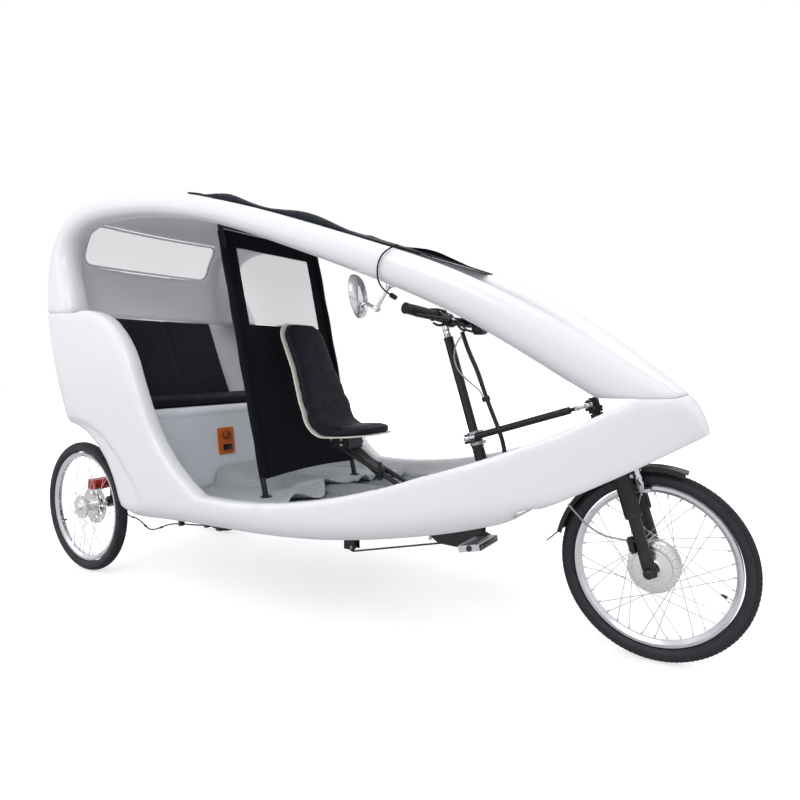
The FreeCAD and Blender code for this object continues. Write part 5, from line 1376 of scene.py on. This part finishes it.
def bar_trim():
    """Ribbed grips, lever hoods, shifter pods, cables and the chrome quill of the stem."""
    grips = Shape()
    pods = Shape()
    bright = Shape()
    wires = Shape()
    for side in (-1, 1):
        start, tip = on_bar(0.42, side), on_bar(1.0, side)
        run = (tip - start).normalized()
        reach = (tip - start).length
        profile = [(0, 0.0166), (0.001, 0.0205), (0.005, 0.0208), (0.007, 0.0178)]
        for k in range(19):
            a = 0.010 + (reach - 0.022) * k / 19
            swell = 0.0012 * math.sin(math.pi * k / 19)
            profile += [(a, 0.0166 + swell), (a + 0.0028, 0.0174 + swell)]
        profile += [(reach - 0.008, 0.0185), (reach + 0.001, 0.0190), (reach + 0.0035, 0.0170),
                    (reach + 0.0038, 0.0)]
        grips.lathe(start, run, profile, 28)
        clamp = on_bar(0.30, side)
        pods.lathe(clamp - run * 0.012, run, [(0, 0.0150), (0.002, 0.0178), (0.022, 0.0178),
                                              (0.024, 0.0150)], 24)
        hood = clamp + Vector((0.024, 0, -0.004))
        pods.slab(hood, run, X_DIR, (0.046, 0.022, 0.020), 0.3)
        pods.slab(hood + run * 0.018 + Vector((0.010, 0, -0.004)), run, X_DIR,
                  (0.030, 0.016, 0.015), 0.3)
        shifter = on_bar(0.14, side)
        pods.lathe(shifter - run * 0.016, run, [(0, 0.014), (0.003, 0.019), (0.026, 0.021),
                                                (0.032, 0.015)], 24)
        pods.slab(shifter + Vector((0.012, 0, -0.020)), run, X_DIR, (0.030, 0.036, 0.018), 0.3)
        thumb = shifter + Vector((-0.006, 0, -0.018))
        pods.tube(curved([thumb, thumb + Vector((-0.022, side * 0.012, -0.004)),
                          thumb + Vector((-0.034, side * 0.030, 0.004))], 6),
                  lambda t: 0.0055 - 0.002 * t, 10)
        lever = thumb + Vector((0.004, side * 0.004, 0.040))
        pods.tube(curved([lever, lever + Vector((-0.020, side * 0.016, 0.008)),
                          lever + Vector((-0.050, side * 0.026, 0.010))], 6),
                  lambda t: 0.0062 - 0.0015 * t, 10)
        bright.bolt(clamp + Vector((0.0, 0, 0.0172)), Z_DIR, 0.0030, 0.003)
        bright.bolt(hood + Vector((0.010, 0, 0.0085)), Z_DIR, 0.0032, 0.003)
        bright.lathe(hood - run * 0.024, -run, [(0, 0.0048), (0.010, 0.0048), (0.012, 0.0036),
                                                (0.016, 0.0030)], 14)
        bright.bolt(shifter + Vector((0.012, 0, -0.029)), -Z_DIR, 0.0040, 0.003)
        for k, (droop, swing) in enumerate(((0.050, 0.018), (0.062, 0.034), (0.040, 0.004))):
            a = (hood if k < 2 else shifter) - run * 0.030
            top = at(1806 + 6 * k, 9 * side - 4, 1066)
            mid_a = a.lerp(top, 0.30) + Vector((swing, 0, 0.004 - droop * 0.4))
            mid_b = a.lerp(top, 0.72) + Vector((swing * 1.4, 0, -droop * 0.35))
            wires.tube(curved([a + run * 0.008, a - run * 0.004, mid_a, mid_b, top], 8),
                       0.0024, 8)
    grips.piece("grip_sleeves", "black_rubber", "handlebar_assembly", ("grips",))
    pods.piece("lever_hoods_and_shifters", "black_plastic", "handlebar_assembly")
    bright.piece("bar_screws", "chrome", "handlebar_assembly")
    wires.piece("bar_wires", "black_rubber", "handlebar_assembly")
    quill = Shape()
    quill.lathe(on_column(213), STEER_UP, [
        (0, 0.0115), (0.0, 0.0140), (0.004, 0.0142), (0.006, 0.0125), (0.014, 0.0122),
        (0.016, 0.0134), (0.019, 0.0134), (0.021, 0.0122), (0.030, 0.0122), (0.032, 0.0134),
        (0.035, 0.0134), (0.037, 0.0122), (0.050, 0.0121), (0.056, 0.0126), (0.060, 0.0110)], 40)
    bend = [on_column(262), on_column(276) + STEER_AHEAD * 0.004,
            on_column(284) + STEER_AHEAD * 0.016, on_column(285) + STEER_AHEAD * 0.034]
    quill.tube(curved(bend, 8), 0.0128, 24)
    quill.piece("stem_quill", "chrome", "handlebar_assembly")
    cap = Shape()
    cap.lathe(on_column(208), STEER_UP, [(0, 0.0172), (0.0, 0.0182), (0.005, 0.0184),
                                         (0.0068, 0.0165), (0.0068, 0.0120)], 40)
    cap.piece("column_cap", "black_plastic", "handlebar_assembly")
    unit = Shape()
    unit.slab(at(1855, 0, 1116), Y_DIR, Z_DIR, (0.082, 0.054, 0.034), 0.2)
    unit.slab(at(1880, 34, 1086), Y_DIR, Z_DIR, (0.030, 0.030, 0.030), 0.25)
    unit.lathe(at(1855, 0, 1070), X_DIR, [(0, 0.015), (0.002, 0.0262), (0.030, 0.0275),
                                          (0.040, 0.0262), (0.0405, 0.0225), (0.036, 0.0215),
                                          (0.034, 0.0)], 40)
    unit.piece("display_and_lamp", "black_plastic", "handlebar_assembly")


bar_trim()


def steering_trim():
    """Clamp collars with pinch bolts on the column, and the link's bright rod ends."""
    collars = Shape()
    for up in (-157.0, -196.0):
        profile = [(0, 0.0235), (0.0015, 0.0252), (0.0115, 0.0252), (0.013, 0.0235)]
        collars.lathe(on_column(up), STEER_UP, profile, 40)
        ear = on_column(up) + STEER_UP * 0.0065 + STEER_AHEAD * 0.030
        collars.slab(ear, STEER_AHEAD, Y_DIR, (0.014, 0.018, 0.011), 0.2)
        collars.bolt(ear - Y_DIR * 0.0090 + STEER_AHEAD * 0.001, -Y_DIR, 0.0036, 0.004)
        collars.bolt(ear + Y_DIR * 0.0090 + STEER_AHEAD * 0.001, Y_DIR, 0.0036, 0.004)
    collars.piece("column_collars", "steel", "handlebar_assembly")
    pin = joint_at("link_pivot")
    ends = Shape()
    far_x = size_of("steering_link")[1].x - 0.0105
    far = Vector((far_x, pin.y, pin.z + (far_x - pin.x) * STEER_AHEAD.z / STEER_AHEAD.x))
    for middle, sense in ((pin, 1), (far, -1)):
        neck = STEER_AHEAD * sense
        ends.lathe(middle + neck * 0.009, neck, [(0, 0.0070), (0.024, 0.0070), (0.026, 0.0090),
                                                 (0.033, 0.0090)], 20)
        ends.lathe(middle + neck * 0.035, neck, [(0, 0.0098), (0.010, 0.0098)], 6)
        ends.lathe(middle - STEER_UP * 0.0068, STEER_UP, [
            (0, 0.0118), (0.002, 0.0126), (0.0116, 0.0126), (0.0136, 0.0118), (0.0136, 0.0060),
            (0, 0.0060)], 28)
        ends.bolt(middle + STEER_UP * 0.0128, STEER_UP, 0.0058, 0.0045)
    ends.piece("link_rod_ends", "chrome", "link")
    taper = Shape()
    a = far - STEER_AHEAD * 0.064
    taper.lathe(a, -STEER_AHEAD, [(0, 0.0090), (0.006, 0.0118), (0.030, 0.0126),
                                  (0.034, 0.0122)], 28)
    taper.piece("link_sleeve", "black_rubber", "link")


steering_trim()


# ---------------------------------------------------------------- fork and front brake
AXLE = joint_at("front_wheel_spin")


def by_fork(up, ahead, y):
    """Point from the front axle: up along the fork, ahead of it and to the left."""
    return AXLE + STEER_UP * up + STEER_AHEAD * ahead + Y_DIR * y


def fork_trim():
    """Ribbed gaiters on the legs, crown bolts, axle caps and the brake's bright arms."""
    ribs = Shape()
    caps = Shape()
    bright = Shape()
    dark = Shape()
    for side in (-1, 1):
        foot = AXLE + Y_DIR * (side * 0.067)
        for out in circle(Vector(), STEER_AHEAD, Y_DIR, 1.0, 12):
            ribs.tube([foot + STEER_UP * h + out * (0.0252 - 0.0008 * (h > 0.31))
                       for h in (0.178, 0.182, 0.320, 0.326)], 0.0026, 8)
        ribs.lathe(foot, STEER_UP, [(0.166, 0.0200), (0.168, 0.0262), (0.176, 0.0272),
                                    (0.182, 0.0262), (0.184, 0.0250)], 36)
        ribs.lathe(foot, STEER_UP, [(0.318, 0.0250), (0.320, 0.0268), (0.330, 0.0268),
                                    (0.332, 0.0250)], 36)
        ribs.lathe(foot, STEER_UP, [(-0.012, 0.0190), (-0.008, 0.0206), (0.030, 0.0208),
                                    (0.060, 0.0202), (0.066, 0.0192)], 36)
        end = AXLE + Y_DIR * (side * 0.086)
        caps.lathe(end, Y_DIR * side, [(0, 0.0150), (0.003, 0.0162), (0.009, 0.0155),
                                       (0.014, 0.0115), (0.016, 0.0060), (0.0162, 0.0)], 32)
        pivot = by_fork(0.292, 0.048, side * 0.067)
        dark.lathe(pivot - STEER_AHEAD * 0.012, STEER_AHEAD, [(0, 0.011), (0.010, 0.011),
                                                              (0.012, 0.008)], 20)
        bright.bolt(pivot + STEER_AHEAD * 0.001, STEER_AHEAD, 0.0050, 0.004)
        elbow = pivot + STEER_UP * 0.034 + Y_DIR * (side * 0.006) + STEER_AHEAD * 0.004
        tip = pivot + STEER_UP * 0.072 - Y_DIR * (side * 0.036) - STEER_AHEAD * 0.002
        bright.tube(curved([pivot - STEER_UP * 0.012, pivot, elbow, tip], 8),
                    lambda t: 0.0125 - 0.004 * t, 14)
        pad = by_fork(0.243, 0.040, side * 0.027)
        bright.tube(curved([pivot, pivot - STEER_UP * 0.024 - Y_DIR * (side * 0.012), pad], 6),
                    lambda t: 0.0098 - 0.002 * t, 12)
        dark.slab(pad + STEER_AHEAD * 0.001, STEER_UP.cross(Y_DIR), Y_DIR, (0.052, 0.014, 0.014),
                  0.3)
        bright.lathe(pad + STEER_AHEAD * 0.007, STEER_AHEAD, [(0, 0.0060), (0.006, 0.0060),
                                                              (0.008, 0.0035)], 16)
    bright.tube(curved([by_fork(0.352, 0.042, 0.037), by_fork(0.366, 0.048, 0),
                        by_fork(0.352, 0.042, -0.037)], 8), 0.0016, 8)
    dark.slab(by_fork(0.300, 0.052, 0), Y_DIR, STEER_UP, (0.126, 0.060, 0.008), 0.3)
    dark.slab(by_fork(0.086, -0.031, -0.062), STEER_UP, Y_DIR, (0.052, 0.022, 0.024), 0.25)
    for side in (-1, 1):
        bright.bolt(by_fork(0.304, 0.056, side * 0.052), STEER_AHEAD, 0.0044, 0.004)
        bright.bolt(by_fork(0.086 + side * 0.014, -0.043, -0.062), -STEER_AHEAD, 0.0042, 0.004)
    ribs.piece("fork_gaiters", "black_rubber", "fork_assembly")
    caps.piece("front_axle_caps", "black_plastic", "fork_assembly")
    bright.piece("brake_arms", "chrome", "fork_assembly")
    dark.piece("brake_blocks", "black_plastic", "fork_assembly")


fork_trim()


# ---------------------------------------------------------------- seat and cabin trim
def seat_trim():
    """Screws under the shell and the handle of the rail's clamp."""
    screws = Shape()
    for x, z in ((1214, 640), (1268, 640)):
        for y in (-52, 52):
            screws.bolt(at(x, y, z), Y_DIR * (1 if y > 0 else -1), 0.0052, 0.004)
    screws.lathe(at(1290, -52, 622), -Y_DIR, [(0, 0.0052), (0.030, 0.0052)], 16)
    screws.piece("seat_screws", "steel", "chassis")
    knob = Shape()
    knob.lathe(at(1452, -20, 530), -Y_DIR, [(0, 0.011), (0.018, 0.011), (0.020, 0.008)], 20)
    knob.lathe(at(1452, -40, 490), Z_DIR, [(0, 0.0070), (0.003, 0.0088), (0.066, 0.0088),
                                           (0.070, 0.0070)], 20)
    knob.piece("rail_clamp_handle", "black_plastic", "chassis")


seat_trim()


def window_welt():
    """Rubber profile round the back window, on both faces of the wall."""
    low, high = size_of("rear_window")
    tree = surface_of("rear_window")
    radius, inset = 0.045, 0.004
    y_in = high.y - inset - radius
    z_down, z_up = low.z + inset + radius, high.z - inset - radius
    corners = []
    for cy, cz, first in ((y_in, z_up, 0), (-y_in, z_up, 90), (-y_in, z_down, 180),
                          (y_in, z_down, 270)):
        for k in range(9):
            a = math.radians(first + 90 * k / 8)
            corners.append((cy + radius * math.cos(a), cz + radius * math.sin(a)))
    loop = []
    for (y0, z0), (y1, z1) in zip(corners, corners[1:] + corners[:1]):
        steps = max(1, int(math.hypot(y1 - y0, z1 - z0) / 0.02))
        for k in range(steps):
            loop.append((y0 + (y1 - y0) * k / steps, z0 + (z1 - z0) * k / steps))
    welt = Shape()
    for sense in (-1, 1):
        points = []
        for y, z in loop:
            start = Vector((low.x - 0.3 if sense < 0 else high.x + 0.3, y, z))
            hit = tree.ray_cast(start, X_DIR * -sense)[0]
            if hit is None:
                hit = Vector((low.x if sense < 0 else high.x, y, z))
            points.append(hit + X_DIR * (sense * 0.0012))
        rings = []
        for i, p in enumerate(points):
            run = (points[(i + 1) % len(points)] - points[i - 1]).normalized()
            side = run.cross(X_DIR).normalized()
            rings.append([p + side * (0.0050 * math.cos(t)) + X_DIR * (0.0024 * math.sin(t))
                          for t in turns(10)])
        welt.rings(rings, closed=True)
    welt.piece("window_welt", "panel", "chassis")


window_welt()


# ---------------------------------------------------------------- CAD nodes that stay
for node, material, bevel in (
        ("rear_window", "window", 0), ("floor_pan", "floor", 0), ("bench_base", "panel", 0.003),
        ("control_plate", "orange", 0.0012), ("divider_frame", "black_paint", 0),
        ("main_frame", "black_paint", 0.0012), ("seat_rail", "black_paint", 0.001),
        ("chain_guard", "black_paint", 0.0006),
        ("chain_idlers", "black_plastic", 0.0004), ("side_mirror", "chrome", 0),
        ("rear_calipers", "red", 0.002), ("cord_fittings", "black_plastic", 0.0006),
        ("motor_cable_gland", "black_plastic", 0.0006), ("steering_column", "black_paint", 0.0006),
        ("handlebar", "black_paint", 0), ("brake_levers", "black_plastic", 0),
        ("display", "black_plastic", 0.001), ("steering_link", "black_paint", 0.0005),
        ("fork", "black_paint", 0.0010), ("front_fender", "black_plastic", 0.0006),
        ("front_brake", "alloy", 0.0008), ("front_rim", "rim", 0), ("rear_right_rim", "rim", 0),
        ("rear_left_rim", "rim", 0), ("rear_right_hub", "hub", 0.0004),
        ("rear_left_hub", "hub", 0.0004), ("crankset", "black_paint", 0.0008),
        ("pedal_right", "alloy", 0.0012), ("pedal_left", "alloy", 0.0012)):
    show_node(node, material, bevel)


# ---------------------------------------------------------------- floor, light
def floor_material():
    """Pale floor that takes the shadow and stays near white for the camera."""
    g = Graph("studio_floor")
    g.set(Base_Color=rgb(0.62, 0.62, 0.625), Roughness=0.9)
    reach = g.tree.nodes.new("ShaderNodeVectorMath")
    reach.operation = "LENGTH"
    g.put(reach.inputs[0], g.coords)
    glow = g.node("ShaderNodeEmission", Color=rgb(1, 1, 1.0),
                  Strength=g.span(reach.outputs["Value"], 0.57, 1.0, 1.4, 4.5))
    total = g.node("ShaderNodeAddShader")
    pick = g.node("ShaderNodeMixShader")
    path = g.node("ShaderNodeLightPath")
    seen = g.math("MAXIMUM", path.outputs["Is Camera Ray"], path.outputs["Is Transmission Ray"])
    g.put(total.inputs[0], g.shader.outputs[0])
    g.put(total.inputs[1], glow.outputs[0])
    g.put(pick.inputs[0], seen)
    g.put(pick.inputs[1], g.shader.outputs[0])
    g.put(pick.inputs[2], total.outputs[0])
    g.put(g.tree.nodes["Material Output"].inputs["Surface"], pick.outputs[0])
    return g.material


def make_stage():
    work = bmesh.new()
    bmesh.ops.create_circle(work, cap_ends=True, segments=96, radius=30)
    mesh = bpy.data.meshes.new("studio_floor")
    work.to_mesh(mesh)
    work.free()
    floor = link(bpy.data.objects.new("studio_floor", mesh))
    floor.location.z = -0.0005
    mesh.materials.append(floor_material())


def area_light(name, place, target, size, energy):
    data = bpy.data.lights.new(name, "AREA")
    data.shape = "RECTANGLE"
    data.size, data.size_y = size
    data.energy = energy
    lamp = link(bpy.data.objects.new(name, data))
    lamp.location = place
    lamp.rotation_euler = (Vector(target) - Vector(place)).to_track_quat("-Z", "Y").to_euler()


def make_world():
    world = bpy.data.worlds.new("studio")
    bpy.context.scene.world = world
    world.use_nodes = True
    tree = world.node_tree
    background = tree.nodes["Background"]
    background.inputs["Color"].default_value = rgb(0.95, 0.97, 1.0)
    background.inputs["Strength"].default_value = 0.92
    seen = tree.nodes.new("ShaderNodeBackground")
    seen.inputs["Color"].default_value = rgb(1, 1, 1)
    seen.inputs["Strength"].default_value = 1.0
    pick = tree.nodes.new("ShaderNodeMixShader")
    path = tree.nodes.new("ShaderNodeLightPath")
    bright = tree.nodes.new("ShaderNodeMath")
    bright.operation = "MAXIMUM"
    for source, sink in (
            (path.outputs["Is Camera Ray"], bright.inputs[0]),
            (path.outputs["Is Transmission Ray"], bright.inputs[1]),
            (bright.outputs[0], pick.inputs[0]), (background.outputs[0], pick.inputs[1]),
            (seen.outputs[0], pick.inputs[2]),
            (pick.outputs[0], tree.nodes["World Output"].inputs["Surface"])):
        tree.links.new(source, sink)


make_stage()
make_world()
area_light("key", (1.5, -4.2, 4.4), (0.1, 0, 0.7), (3.2, 2.4), 84)
area_light("fill", (-3.4, -3.4, 2.6), (-0.3, 0, 0.8), (3.0, 3.0), 20)
area_light("top", (0.0, 0.5, 4.6), (0, 0, 0.6), (4.5, 3.0), 44)
bpy.context.scene.view_settings.view_transform = "Standard"
